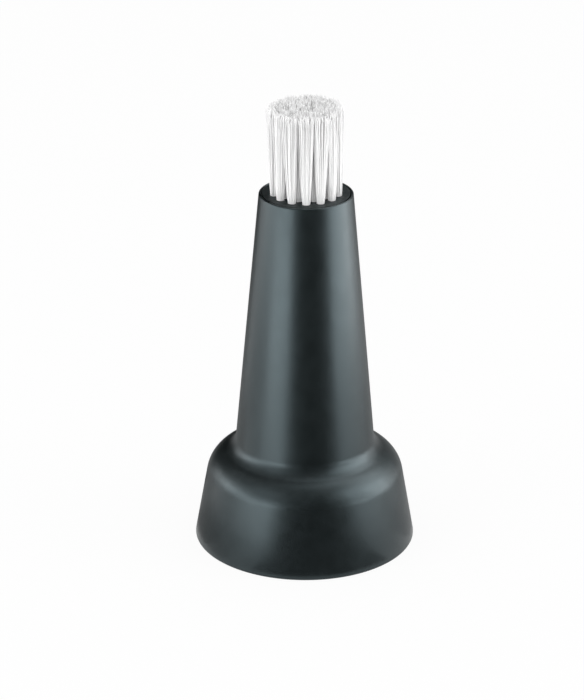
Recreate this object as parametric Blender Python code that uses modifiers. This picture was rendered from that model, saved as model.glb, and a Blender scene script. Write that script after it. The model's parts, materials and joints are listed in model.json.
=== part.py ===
"""Nose attachment of a power cleaning brush: a tapered housing and a turning field of bristles.

Metres, +Z up. The origin is the middle of the skirt's open mouth, on the surface that the part
stands on, and the front is towards -Y. The housing stays still on the tool's nose. The spindle,
which the tool turns through the drive socket, carries the tuft block and its bristles.
"""

import math
import random

import bmesh
import bpy
from mathutils import Matrix, Vector

# Fits
FIT_GAP = 0.0003
CUT_OVERRUN = 0.0010

# Nose housing, outside
BODY_HEIGHT = 0.0992
BASE_RADIUS = 0.0300
SKIRT_HEIGHT = 0.0188
SKIRT_DRAFT = math.radians(10.0)
SHOULDER_RADIUS = 0.0084
NECK_FILLET = 0.0036
TIP_RADIUS = 0.0125
CONE_DRAFT = math.radians(5.1)
TIP_ROUND = 0.0004
LIP_ROUND_SHARE = 0.85
FOOT_ROUND = 0.0006

# Nose housing, inside
WALL = 0.0020
LIP_WIDTH = 0.0005
MOUTH_CHAMFER = 0.0014
WEB_THICKNESS = 0.0025
BUSH_BOSS_WALL = 0.0020
BUSH_BOSS_LENGTH = 0.0095
SCREW_BOSS_RADIUS = 0.0032
SCREW_BOSS_LENGTH = 0.0120
SCREW_BOSS_SINK = 0.0010

# Bayonet lugs inside the skirt, which hold the housing on the tool's nose
LUG_COUNT = 3
LUG_LEVEL = 0.0070
LUG_HEIGHT = 0.0030
LUG_WIDTH = 0.0110
LUG_DEPTH = 0.0016
LUG_RAMP = 0.0009

# Rear bearing plate and its screws
PLATE_RISE = 0.0012
PLATE_THICKNESS = 0.0030
PLATE_HUB_WALL = 0.0017
PLATE_HUB_LENGTH = 0.0100
PLATE_RIB_COUNT = 6
PLATE_RIB_WIDTH = 0.0014
PLATE_RIB_SETBACK = 0.0020
PLATE_LAND_WIDTH = 0.0035
PLATE_RECESS = 0.0004
SCREW_COUNT = 3
SCREW_SHANK_RADIUS = 0.00125
SCREW_SHANK_LENGTH = 0.0100
SCREW_HEAD_RADIUS = 0.0026
SCREW_HEAD_HEIGHT = 0.0013
SCREW_SLOT_WIDTH = 0.0007
SCREW_SLOT_DEPTH = 0.0006

# Bushes and thrust washers
BUSH_WALL = 0.0017
BUSH_LENGTH = 0.0090
BUSH_CHAMFER = 0.0004
REAR_FLANGE_RADIUS = 0.0075
FLANGE_THICKNESS = 0.0012
WASHER_SETBACK = 0.0002
WASHER_THICKNESS = 0.0007

# Drive spindle
SPINDLE_RADIUS = 0.0040
SPINDLE_RELIEF = 0.0005
SPINDLE_CHAMFER = 0.0005
JOURNAL_MARGIN = 0.0015

# Drive socket
SOCKET_RADIUS = 0.0075
SOCKET_LENGTH = 0.0140
SOCKET_CHAMFER = 0.0006
SOCKET_GRIP = 0.0052
HEXAGON_ACROSS_FLATS = 0.0080
HEXAGON_DEPTH = 0.0075
HEXAGON_LEAD_IN = 0.0006

# Cross pins
PIN_RADIUS = 0.0010
PIN_CHAMFER = 0.0002
PIN_INSET = 0.0003

# Seal ring
SEAL_WIDTH = 0.0015
SEAL_LIP = 0.0006

# Tuft block
BLOCK_THICKNESS = 0.0065
BLOCK_ROUND = 0.0002
HUB_RADIUS = 0.0065
HUB_LENGTH = 0.0036
SPINDLE_POCKET = 0.0005
HOLE_DEPTH = 0.0045
HOLE_EDGE_WALL = 0.0007

# Tufts and their strands
TUFT_RADIUS = 0.00085
TUFT_GAP = 0.0002
TUFT_PITCH = 0.00384
TUFT_RECESS = 0.0003
BRISTLE_LENGTH = 0.0242
STRANDS_PER_TUFT = 11
STRAND_SIDES = 3
STRAND_RADIUS = 0.00012
STRAND_ROOT = 0.0004
TRIM_UNEVENNESS = 0.0003
TIP_WANDER = 0.00010
FIELD_LEAN = 0.00020

# Rings of tufts, as shares of the outer ring's radius, and where each ring starts in tuft steps
RING_RADIUS_SHARES = (1.0, 0.737, 0.433, 0.0)
RING_START_SHARES = (0.0, 0.5, 0.0, 0.0)

# How a tuft opens: shares of its height, shares of its full spread there, and shares of the room it has
FAN_HEIGHT_SHARES = (0.45, 1.0)
FAN_SPREAD_SHARES = (0.72, 1.0)
RADIAL_FAN_SHARE = 0.90
TANGENT_FAN_SHARE = 0.92

# Fineness of round surfaces
HOUSING_STEPS = 56
BLOCK_STEPS = 48
PLATE_STEPS = 40
FITTING_STEPS = 32
SPINDLE_STEPS = 24
HOLE_SIDES = 10
PLUG_SIDES = 8
PIN_SIDES = 12
ARC_STEPS = 7
CORNER_STEPS = 2
MERGE_DISTANCE = 0.000001
SMOOTH_ANGLE = math.radians(32.0)
RANDOM_SEED = 31
GOLDEN_ANGLE = math.pi * (3.0 - math.sqrt(5.0))

# Radii that follow from the fits
BORE_RADIUS = SPINDLE_RADIUS + FIT_GAP
BUSH_RADIUS = BORE_RADIUS + BUSH_WALL
BUSH_SEAT_RADIUS = BUSH_RADIUS + FIT_GAP
MOUTH_RADIUS = TIP_RADIUS - LIP_WIDTH
THROAT_RADIUS = MOUTH_RADIUS - MOUTH_CHAMFER
BLOCK_RADIUS = THROAT_RADIUS - FIT_GAP
HOLE_RADIUS = TUFT_RADIUS + TUFT_GAP
OUTER_RING_RADIUS = BLOCK_RADIUS - HOLE_EDGE_WALL - HOLE_RADIUS
SCREW_HOLE_RADIUS = SCREW_SHANK_RADIUS + FIT_GAP
COUNTERBORE_RADIUS = SCREW_HEAD_RADIUS + FIT_GAP
PIN_HOLE_RADIUS = PIN_RADIUS + FIT_GAP
HEXAGON_RADIUS = HEXAGON_ACROSS_FLATS / 2.0 / math.cos(math.pi / 6.0)

# Heights that follow from the stack of pieces at each bearing
BEARING_STACK = FIT_GAP + FLANGE_THICKNESS + FIT_GAP + WASHER_THICKNESS + FIT_GAP
BLOCK_UNDERSIDE = BODY_HEIGHT - BLOCK_THICKNESS
HUB_END = BLOCK_UNDERSIDE - HUB_LENGTH
WEB_TOP = HUB_END - BEARING_STACK
THROAT_LEVEL = BODY_HEIGHT - MOUTH_CHAMFER
HOLE_FLOOR = BODY_HEIGHT - HOLE_DEPTH
POCKET_END = BLOCK_UNDERSIDE + SPINDLE_POCKET
PLATE_LEVEL = SKIRT_HEIGHT + PLATE_RISE
PLATE_TOP = PLATE_LEVEL + PLATE_THICKNESS
SCREW_BOSS_END = PLATE_TOP + FIT_GAP
SOCKET_TOP = PLATE_LEVEL - BEARING_STACK
SOCKET_END = SOCKET_TOP - SOCKET_LENGTH
SPINDLE_TOP = POCKET_END - FIT_GAP
SPINDLE_END = SOCKET_TOP - SOCKET_GRIP + FIT_GAP
BLOCK_PIN_LEVEL = (BLOCK_UNDERSIDE + HUB_END) / 2.0
SOCKET_PIN_LEVEL = SOCKET_TOP - SOCKET_GRIP / 2.0


# Outlines

def arc(centre, radius, start, end, steps):
    """Points along an arc in the plane of radius and height."""
    points = []
    for step in range(steps + 1):
        angle = start + (end - start) * step / steps
        points.append((centre[0] + radius * math.cos(angle), centre[1] + radius * math.sin(angle)))
    return points


def rounded(before, corner, after, radius, steps=CORNER_STEPS):
    """Points that round the corner between two straight runs."""
    corner = Vector(corner)
    back = (Vector(before) - corner).normalized()
    onward = (Vector(after) - corner).normalized()
    half = back.angle(onward) / 2.0
    reach = radius / math.tan(half)
    centre = corner + (back + onward).normalized() * (radius / math.sin(half))
    start = corner + back * reach - centre
    end = corner + onward * reach - centre
    bearing = math.atan2(start.y, start.x)
    turn = math.remainder(math.atan2(end.y, end.x) - bearing, 2.0 * math.pi)
    return arc(centre, radius, bearing, bearing + turn, steps)


def radius_at(points, level):
    """Radius of an outline at a height, where the outline rises from point to point."""
    for lower, upper in zip(points, points[1:]):
        if lower[1] <= level <= upper[1]:
            share = (level - lower[1]) / (upper[1] - lower[1])
            return lower[0] + (upper[0] - lower[0]) * share
    return points[-1][0]


def cone_radius(level):
    """Outer radius of the housing's cone at a height."""
    return TIP_RADIUS + (BODY_HEIGHT - level) * math.tan(CONE_DRAFT)


def shoulder_centre():
    """Middle of the shoulder's arc, which runs on from the skirt's slope."""
    end_radius = BASE_RADIUS - SKIRT_HEIGHT * math.tan(SKIRT_DRAFT)
    return (end_radius - SHOULDER_RADIUS * math.cos(SKIRT_DRAFT),
            SKIRT_HEIGHT - SHOULDER_RADIUS * math.sin(SKIRT_DRAFT))


def neck_centre():
    """Middle of the neck's hollow arc, which touches both the shoulder's arc and the cone."""
    middle = shoulder_centre()
    slope = math.tan(CONE_DRAFT)
    distance = SHOULDER_RADIUS + NECK_FILLET
    across = cone_radius(0.0) + NECK_FILLET / math.cos(CONE_DRAFT) - middle[0]
    square = 1.0 + slope ** 2
    linear = slope * across + middle[1]
    constant = across ** 2 + middle[1] ** 2 - distance ** 2
    level = (linear + math.sqrt(linear ** 2 - square * constant)) / square
    return (middle[0] + across - slope * level, level)


def housing_wall(inset):
    """Points up the housing from foot to neck, at a depth under its outer surface."""
    shoulder = shoulder_centre()
    neck = neck_centre()
    meeting = math.atan2(neck[1] - shoulder[1], neck[0] - shoulder[0])
    points = [(BASE_RADIUS - inset / math.cos(SKIRT_DRAFT), 0.0)]
    points += arc(shoulder, SHOULDER_RADIUS - inset, SKIRT_DRAFT, meeting, ARC_STEPS)
    points += arc(neck, NECK_FILLET + inset, math.pi + meeting, math.pi + CONE_DRAFT, ARC_STEPS)[1:]
    return points


def inner_cone_point(level):
    """Point of the housing's inner wall on its cone."""
    return (cone_radius(level) - WALL / math.cos(CONE_DRAFT), level)


def inner_wall():
    """Points up the housing's inner wall from foot to throat."""
    return housing_wall(WALL) + [inner_cone_point(WEB_TOP), (THROAT_RADIUS, THROAT_LEVEL)]


def housing_outline():
    """The housing's whole section: down its outside and back up its inside."""
    boss_radius = BUSH_SEAT_RADIUS + BUSH_BOSS_WALL
    boss_end = WEB_TOP - BUSH_BOSS_LENGTH
    web_underside = WEB_TOP - WEB_THICKNESS
    outside = housing_wall(0.0)[::-1]
    tip = (TIP_RADIUS, BODY_HEIGHT)
    mouth = (MOUTH_RADIUS, BODY_HEIGHT)
    foot_inside = (BASE_RADIUS - WALL / math.cos(SKIRT_DRAFT), 0.0)
    tip_round = min(TIP_ROUND, LIP_WIDTH * LIP_ROUND_SHARE)
    points = [mouth]
    points += rounded(mouth, tip, outside[0], tip_round, CORNER_STEPS + 1)
    points += outside[:-1]
    points += rounded(outside[-2], outside[-1], foot_inside, FOOT_ROUND)
    points += housing_wall(WALL)
    points += [inner_cone_point(web_underside), (boss_radius, web_underside)]
    points += [(boss_radius, boss_end), (BUSH_SEAT_RADIUS, boss_end), (BUSH_SEAT_RADIUS, WEB_TOP)]
    points += [inner_cone_point(WEB_TOP), (THROAT_RADIUS, THROAT_LEVEL)]
    return points


def seal_radius():
    """Outer radius of the seal ring, which lies inside the housing's tip."""
    return radius_at(inner_wall(), BLOCK_UNDERSIDE - FIT_GAP) - FIT_GAP


def front_flange_radius():
    """Radius of the front bush's flange, which fills the seal ring."""
    return seal_radius() - SEAL_WIDTH - FIT_GAP


def bush_outline(flange_radius, flange_level, direction):
    """A flanged bush: its flange lies at a height and its sleeve runs up or down from it."""
    flange_far = flange_level - direction * FLANGE_THICKNESS
    sleeve_end = flange_level + direction * BUSH_LENGTH
    points = [(flange_radius, flange_far), (flange_radius, flange_level), (BUSH_RADIUS, flange_level)]
    points += [(BUSH_RADIUS, sleeve_end - direction * BUSH_CHAMFER)]
    points += [(BUSH_RADIUS - BUSH_CHAMFER, sleeve_end), (BORE_RADIUS, sleeve_end)]
    points += [(BORE_RADIUS, flange_far)]
    return points if direction < 0.0 else points[::-1]


def ring_outline(inner, outer, bottom, top):
    """A plain washer or ring."""
    return [(inner, top), (outer, top), (outer, bottom), (inner, bottom)]


# Scene and modelling helpers

def clear_scene():
    """Remove every object that the file opened with."""
    for item in list(bpy.data.objects):
        bpy.data.objects.remove(item, do_unlink=True)


def new_collection(name):
    """A collection linked to the scene."""
    group = bpy.data.collections.new(name)
    bpy.context.scene.collection.children.link(group)
    return group


def new_material(name, colour, roughness, metallic=0.0):
    """A Principled material in one plain colour."""
    finish = bpy.data.materials.new(name)
    finish.use_nodes = True
    shader = finish.node_tree.nodes["Principled BSDF"]
    shader.inputs["Base Color"].default_value = (*colour, 1.0)
    shader.inputs["Roughness"].default_value = roughness
    shader.inputs["Metallic"].default_value = metallic
    finish.diffuse_color = (*colour, 1.0)
    return finish


def new_object(name, mesh, group):
    """An object in a collection."""
    item = bpy.data.objects.new(name, mesh)
    group.objects.link(item)
    return item


def mesh_from(name, form):
    """A mesh from a bmesh, which is freed."""
    mesh = bpy.data.meshes.new(name)
    form.to_mesh(mesh)
    form.free()
    return mesh


def turned(name, points, steps, group, closed=True):
    """A turned piece: a section revolved about Z."""
    form = bmesh.new()
    corners = [form.verts.new((radius, 0.0, level)) for radius, level in points]
    for corner, following in zip(corners, corners[1:]):
        form.edges.new((corner, following))
    if closed:
        form.edges.new((corners[-1], corners[0]))
    item = new_object(name, mesh_from(name, form), group)
    screw = item.modifiers.new("Revolve", "SCREW")
    screw.steps = steps
    screw.render_steps = steps
    screw.use_merge_vertices = True
    screw.merge_threshold = MERGE_DISTANCE
    return item


def add_cylinder(form, radius, bottom, top, sides, place=(0.0, 0.0), end_radius=None):
    """Add an upright cylinder or cone to a bmesh."""
    middle = Matrix.Translation((place[0], place[1], (bottom + top) / 2.0))
    far_radius = radius if end_radius is None else end_radius
    bmesh.ops.create_cone(form, cap_ends=True, segments=sides, radius1=radius, radius2=far_radius,
                          depth=top - bottom, matrix=middle)


def add_cross_cylinder(form, radius, half_length, level, sides):
    """Add a cylinder that lies along X across the axis."""
    turn = Matrix.Translation((0.0, 0.0, level)) @ Matrix.Rotation(math.pi / 2.0, 4, "Y")
    bmesh.ops.create_cone(form, cap_ends=True, segments=sides, radius1=radius, radius2=radius,
                          depth=2.0 * half_length, matrix=turn)


def around(count, radius, start=0.0):
    """Places spaced evenly round the axis, the first one at the front."""
    places = []
    for index in range(count):
        angle = start + 2.0 * math.pi * index / count
        places.append((radius * math.sin(angle), -radius * math.cos(angle), angle))
    return places


def hide_as_cutter(item):
    """Show a guide as wire and keep it out of renders."""
    item.hide_render = True
    item.display_type = "WIRE"


def add_boolean(item, tool, operation):
    """Join a piece with a guide, or cut it by one."""
    change = item.modifiers.new(tool.name, "BOOLEAN")
    change.operation = operation
    change.solver = "EXACT"
    change.object = tool
    hide_as_cutter(tool)


def finish_piece(item, finish, axle):
    """Apply a piece's modifiers, shade it and hang it on the empty that carries it."""
    shape = item.evaluated_get(bpy.context.evaluated_depsgraph_get())
    mesh = bpy.data.meshes.new_from_object(shape)
    mesh.name = item.name
    item.modifiers.clear()
    item.data = mesh
    mesh.shade_smooth()
    mesh.set_sharp_from_angle(angle=SMOOTH_ANGLE)
    mesh.materials.clear()
    mesh.materials.append(finish)
    item.parent = axle
    return item


# Pieces that stay still

def make_nose_housing(parts, cutters):
    """The grey moulding: skirt, shoulder, neck, cone, inner web, screw bosses and bayonet lugs."""
    housing = turned("nose_housing", housing_outline(), HOUSING_STEPS, parts)
    bosses = bmesh.new()
    pilots = bmesh.new()
    for x, y, _ in around(SCREW_COUNT, screw_pitch_radius()):
        add_cylinder(bosses, SCREW_BOSS_RADIUS, SCREW_BOSS_END, screw_boss_top(), FITTING_STEPS // 2, (x, y))
        add_cylinder(pilots, SCREW_HOLE_RADIUS, SCREW_BOSS_END - CUT_OVERRUN,
                     screw_tip_level() + FIT_GAP, PIN_SIDES, (x, y))
    add_boolean(housing, new_object("screw_bosses_form", mesh_from("screw_bosses_form", bosses), cutters),
                "UNION")
    add_boolean(housing, new_object("lugs_form", lug_mesh(), cutters), "UNION")
    add_boolean(housing, new_object("pilot_holes_cut", mesh_from("pilot_holes_cut", pilots), cutters),
                "DIFFERENCE")
    return housing


def screw_boss_top():
    """Height where the screw bosses end inside the cone."""
    return SCREW_BOSS_END + SCREW_BOSS_LENGTH


def screw_pitch_radius():
    """Radius of the circle that the screws stand on, so that the bosses sink a little into the wall."""
    return inner_cone_point(screw_boss_top())[0] + SCREW_BOSS_SINK - SCREW_BOSS_RADIUS


def screw_head_seat():
    """Height of the ledge that the screw heads bear on."""
    return PLATE_LEVEL + SCREW_HEAD_HEIGHT + FIT_GAP


def screw_tip_level():
    """Height that the screws' tips reach inside their bosses."""
    return screw_head_seat() + SCREW_SHANK_LENGTH


def lug_mesh():
    """The bayonet lugs, each a block with a ramp under its inner edge."""
    wall_radius = radius_at(inner_wall(), LUG_LEVEL + LUG_HEIGHT)
    inner_radius = wall_radius - LUG_DEPTH
    outer_radius = wall_radius + WALL / 2.0
    form = bmesh.new()
    for _, _, angle in around(LUG_COUNT, wall_radius, math.pi / LUG_COUNT):
        block = bmesh.ops.create_cube(form, size=1.0)["verts"]
        bmesh.ops.scale(form, verts=block, vec=(LUG_WIDTH, outer_radius - inner_radius, LUG_HEIGHT))
        ramp = [corner for corner in block if corner.co.y > 0.0 and corner.co.z < 0.0]
        bmesh.ops.translate(form, verts=ramp, vec=(0.0, 0.0, LUG_RAMP))
        bmesh.ops.translate(form, verts=block, vec=(0.0, -(outer_radius + inner_radius) / 2.0,
                                                   LUG_LEVEL + LUG_HEIGHT / 2.0))
        bmesh.ops.rotate(form, verts=block, matrix=Matrix.Rotation(angle, 3, "Z"))
    return mesh_from("lugs_form", form)


def make_rear_plate(parts, cutters):
    """The disc that closes the cone: a web between two lands, a hub for the rear bush and ribs."""
    rim_radius = radius_at(inner_wall(), PLATE_TOP) - FIT_GAP
    hub_radius = BUSH_SEAT_RADIUS + PLATE_HUB_WALL
    hub_top = PLATE_LEVEL + PLATE_HUB_LENGTH
    land_radius = rim_radius - PLATE_LAND_WIDTH
    recess = PLATE_LEVEL + PLATE_RECESS
    points = [(BUSH_SEAT_RADIUS, hub_top), (hub_radius, hub_top), (hub_radius, PLATE_TOP)]
    points += [(rim_radius, PLATE_TOP), (rim_radius, PLATE_LEVEL), (land_radius, PLATE_LEVEL)]
    points += [(land_radius, recess), (hub_radius, recess), (hub_radius, PLATE_LEVEL)]
    points += [(BUSH_SEAT_RADIUS, PLATE_LEVEL)]
    plate = turned("rear_bearing_plate", points, PLATE_STEPS, parts)
    ribs = bmesh.new()
    rib_end = rim_radius - PLATE_RIB_SETBACK
    rib_start = hub_radius - PLATE_HUB_WALL / 2.0
    rib_bottom = PLATE_TOP - PLATE_THICKNESS / 2.0
    rib_top = hub_top - PLATE_RIB_SETBACK
    for _, _, angle in around(PLATE_RIB_COUNT, rim_radius, math.pi / PLATE_RIB_COUNT):
        block = bmesh.ops.create_cube(ribs, size=1.0)["verts"]
        bmesh.ops.scale(ribs, verts=block, vec=(PLATE_RIB_WIDTH, rib_end - rib_start, rib_top - rib_bottom))
        bmesh.ops.translate(ribs, verts=block, vec=(0.0, -(rib_end + rib_start) / 2.0,
                                                   (rib_top + rib_bottom) / 2.0))
        for corner in block:
            if corner.co.y < -(rib_end + rib_start) / 2.0 and corner.co.z > PLATE_TOP:
                corner.co.z = (PLATE_TOP + rib_bottom) / 2.0
        bmesh.ops.rotate(ribs, verts=block, matrix=Matrix.Rotation(angle, 3, "Z"))
    add_boolean(plate, new_object("plate_ribs_form", mesh_from("plate_ribs_form", ribs), cutters), "UNION")
    seat = screw_head_seat()
    bottom = PLATE_LEVEL - CUT_OVERRUN
    top = PLATE_TOP + CUT_OVERRUN
    hole = [(0.0, top), (SCREW_HOLE_RADIUS, top), (SCREW_HOLE_RADIUS, seat)]
    hole += [(COUNTERBORE_RADIUS, seat), (COUNTERBORE_RADIUS, bottom), (0.0, bottom)]
    for index, (x, y, _) in enumerate(around(SCREW_COUNT, screw_pitch_radius()), start=1):
        cutter = turned(f"screw_hole_{index}_cut", hole, FITTING_STEPS // 2, cutters, closed=False)
        cutter.location = (x, y, 0.0)
        add_boolean(plate, cutter, "DIFFERENCE")
    return plate


def make_plate_screw(index, place, parts, cutters):
    """One pan head screw, with its head down in the plate and its plain shank in the boss."""
    head_top = screw_head_seat() - FIT_GAP
    head_end = head_top - SCREW_HEAD_HEIGHT
    points = [(0.0, screw_tip_level()), (SCREW_SHANK_RADIUS, screw_tip_level() - SCREW_SHANK_RADIUS)]
    points += [(SCREW_SHANK_RADIUS, head_top), (SCREW_HEAD_RADIUS, head_top)]
    points += [(SCREW_HEAD_RADIUS, head_end + PIN_CHAMFER), (SCREW_HEAD_RADIUS - PIN_CHAMFER, head_end)]
    points += [(0.0, head_end)]
    screw = turned(f"plate_screw_{index}", points, FITTING_STEPS // 2, parts, closed=False)
    slot = bmesh.new()
    block = bmesh.ops.create_cube(slot, size=1.0)["verts"]
    reach = 2.0 * (SCREW_HEAD_RADIUS + CUT_OVERRUN)
    depth = SCREW_SLOT_DEPTH + CUT_OVERRUN
    bmesh.ops.scale(slot, verts=block, vec=(SCREW_SLOT_WIDTH, reach, depth))
    bmesh.ops.translate(slot, verts=block, vec=(0.0, 0.0, head_end + SCREW_SLOT_DEPTH - depth / 2.0))
    cutter = new_object(f"screw_slot_{index}_cut", mesh_from("screw_slot_cut", slot), cutters)
    for item in (screw, cutter):
        item.location = (place[0], place[1], 0.0)
        item.rotation_euler.z = place[2]
    add_boolean(screw, cutter, "DIFFERENCE")
    return screw


def make_seal_ring(parts):
    """The rubber ring between the inner web and the tuft block, thinner towards its lip."""
    bottom = WEB_TOP + FIT_GAP
    top = BLOCK_UNDERSIDE - FIT_GAP
    outer = seal_radius()
    inner = outer - SEAL_WIDTH
    shoulder = (bottom + top) / 2.0
    lip = (outer + inner - SEAL_LIP) / 2.0
    points = [(lip, top), (lip + SEAL_LIP, top), (outer, shoulder), (outer, bottom)]
    points += [(inner, bottom), (inner, shoulder)]
    return turned("seal_ring", points, FITTING_STEPS, parts)


# Pieces that turn

def make_spindle(parts, cutters):
    """The steel shaft: two journals, a relieved middle and a cross hole at each end."""
    relief = SPINDLE_RADIUS - SPINDLE_RELIEF
    lower_relief = PLATE_LEVEL + BUSH_LENGTH + JOURNAL_MARGIN
    upper_relief = WEB_TOP - BUSH_LENGTH - JOURNAL_MARGIN
    end_radius = SPINDLE_RADIUS - SPINDLE_CHAMFER
    points = [(0.0, SPINDLE_TOP), (end_radius, SPINDLE_TOP), (SPINDLE_RADIUS, SPINDLE_TOP - SPINDLE_CHAMFER)]
    points += [(SPINDLE_RADIUS, upper_relief), (relief, upper_relief - SPINDLE_RELIEF)]
    points += [(relief, lower_relief + SPINDLE_RELIEF), (SPINDLE_RADIUS, lower_relief)]
    points += [(SPINDLE_RADIUS, SPINDLE_END + SPINDLE_CHAMFER), (end_radius, SPINDLE_END), (0.0, SPINDLE_END)]
    spindle = turned("drive_spindle", points, SPINDLE_STEPS, parts, closed=False)
    holes = bmesh.new()
    for level in (BLOCK_PIN_LEVEL, SOCKET_PIN_LEVEL):
        add_cross_cylinder(holes, PIN_HOLE_RADIUS, SPINDLE_RADIUS + CUT_OVERRUN, level, PIN_SIDES)
    cutter = new_object("spindle_pin_holes_cut", mesh_from("spindle_pin_holes_cut", holes), cutters)
    add_boolean(spindle, cutter, "DIFFERENCE")
    return spindle


def make_pin(name, carrier_radius, level, parts):
    """A cross pin with chamfered ends, just inside the round piece that it crosses."""
    half_length = carrier_radius - PIN_INSET
    end_radius = PIN_RADIUS - PIN_CHAMFER
    points = [(0.0, half_length), (end_radius, half_length), (PIN_RADIUS, half_length - PIN_CHAMFER)]
    points += [(PIN_RADIUS, PIN_CHAMFER - half_length), (end_radius, -half_length), (0.0, -half_length)]
    pin = turned(name, points, PIN_SIDES, parts, closed=False)
    pin.rotation_euler.y = math.pi / 2.0
    pin.location.z = level
    return pin


def make_drive_socket(parts, cutters):
    """The coupling: a round block with a hexagon hole below and a bore for the spindle above."""
    chamfered = SOCKET_RADIUS - SOCKET_CHAMFER
    bore_floor = SOCKET_TOP - SOCKET_GRIP
    points = [(0.0, bore_floor), (BORE_RADIUS, bore_floor), (BORE_RADIUS, SOCKET_TOP)]
    points += [(chamfered, SOCKET_TOP), (SOCKET_RADIUS, SOCKET_TOP - SOCKET_CHAMFER)]
    points += [(SOCKET_RADIUS, SOCKET_END + SOCKET_CHAMFER), (chamfered, SOCKET_END), (0.0, SOCKET_END)]
    socket = turned("drive_socket", points, FITTING_STEPS, parts, closed=False)
    hexagon = bmesh.new()
    add_cylinder(hexagon, HEXAGON_RADIUS, SOCKET_END - CUT_OVERRUN, SOCKET_END + HEXAGON_DEPTH, 6)
    lead_in = bmesh.new()
    add_cylinder(lead_in, HEXAGON_RADIUS + HEXAGON_LEAD_IN + CUT_OVERRUN, SOCKET_END - CUT_OVERRUN,
                 SOCKET_END + HEXAGON_LEAD_IN, SPINDLE_STEPS, end_radius=HEXAGON_RADIUS)
    cross = bmesh.new()
    add_cross_cylinder(cross, PIN_HOLE_RADIUS, SOCKET_RADIUS + CUT_OVERRUN, SOCKET_PIN_LEVEL, PIN_SIDES)
    for name, form in (("hexagon_cut", hexagon), ("lead_in_cut", lead_in), ("socket_pin_hole_cut", cross)):
        add_boolean(socket, new_object(name, mesh_from(name, form), cutters), "DIFFERENCE")
    return socket


def make_tuft_block(rings, parts, cutters):
    """The round plate that holds the tufts, with its bevelled rim, hub and blind holes."""
    edge = (MOUTH_RADIUS - FIT_GAP, BODY_HEIGHT)
    bevel_end = (BLOCK_RADIUS, THROAT_LEVEL)
    points = [(0.0, BODY_HEIGHT)]
    points += rounded((0.0, BODY_HEIGHT), edge, bevel_end, BLOCK_ROUND)
    points += [bevel_end, (BLOCK_RADIUS, BLOCK_UNDERSIDE), (HUB_RADIUS, BLOCK_UNDERSIDE)]
    points += [(HUB_RADIUS, HUB_END), (BORE_RADIUS, HUB_END), (BORE_RADIUS, POCKET_END), (0.0, POCKET_END)]
    block = turned("tuft_block", points, BLOCK_STEPS, parts, closed=False)
    holes = bmesh.new()
    for ring in rings:
        for x, y, _ in ring:
            add_cylinder(holes, HOLE_RADIUS, HOLE_FLOOR, BODY_HEIGHT + CUT_OVERRUN, HOLE_SIDES, (x, y))
    cross = bmesh.new()
    add_cross_cylinder(cross, PIN_HOLE_RADIUS, HUB_RADIUS + CUT_OVERRUN, BLOCK_PIN_LEVEL, PIN_SIDES)
    for name, form in (("tuft_holes_cut", holes), ("hub_pin_hole_cut", cross)):
        add_boolean(block, new_object(name, mesh_from(name, form), cutters), "DIFFERENCE")
    return block


# Bristles

def ring_sizes():
    """Radius and start of each ring of tufts, without a ring whose holes would meet the last ring's."""
    sizes = []
    for radius_share, start_share in zip(RING_RADIUS_SHARES, RING_START_SHARES):
        radius = OUTER_RING_RADIUS * radius_share
        if not sizes or sizes[-1][0] - radius > 2.0 * HOLE_RADIUS:
            sizes.append((radius, start_share))
    return sizes


def tuft_rings():
    """The places of the tufts, ring by ring from the outside in."""
    rings = []
    for radius, start_share in ring_sizes():
        count = max(1, round(2.0 * math.pi * radius / TUFT_PITCH))
        rings.append(around(count, radius, start_share * 2.0 * math.pi / count))
    return rings


def fan_room():
    """Half the room that a tuft's tips have, across the rings and along them."""
    radii = [radius for radius, _ in ring_sizes()]
    narrowest = min(outer - inner for outer, inner in zip(radii, radii[1:]))
    return narrowest / 2.0 * RADIAL_FAN_SHARE, TUFT_PITCH / 2.0 * TANGENT_FAN_SHARE


def add_strand(form, stations, turn):
    """Add one strand: a small polygon drawn up through its stations."""
    start = Matrix.Translation(stations[0]) @ Matrix.Rotation(turn, 4, "Z")
    ring = bmesh.ops.create_circle(form, cap_ends=True, segments=STRAND_SIDES, radius=STRAND_RADIUS,
                                   matrix=start)["verts"]
    drawn = bmesh.ops.extrude_face_region(form, geom=[ring[0].link_faces[0]])["geom"]
    face = next(item for item in drawn if isinstance(item, bmesh.types.BMFace))
    bmesh.ops.translate(form, verts=face.verts, vec=stations[1] - stations[0])
    for lower, upper in zip(stations[1:], stations[2:]):
        face = bmesh.ops.extrude_discrete_faces(form, faces=[face])["faces"][0]
        bmesh.ops.translate(form, verts=face.verts, vec=upper - lower)


def strand_stations(root, tip_shift, tip_level, plug_top):
    """The points of one strand's middle line, in the tuft's own frame."""
    stations = [Vector((root.x, root.y, plug_top - STRAND_ROOT))]
    for height_share, spread_share in zip(FAN_HEIGHT_SHARES, FAN_SPREAD_SHARES):
        place = root + tip_shift * spread_share
        place.z = plug_top + (tip_level - plug_top) * height_share
        stations.append(place)
    return stations


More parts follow.
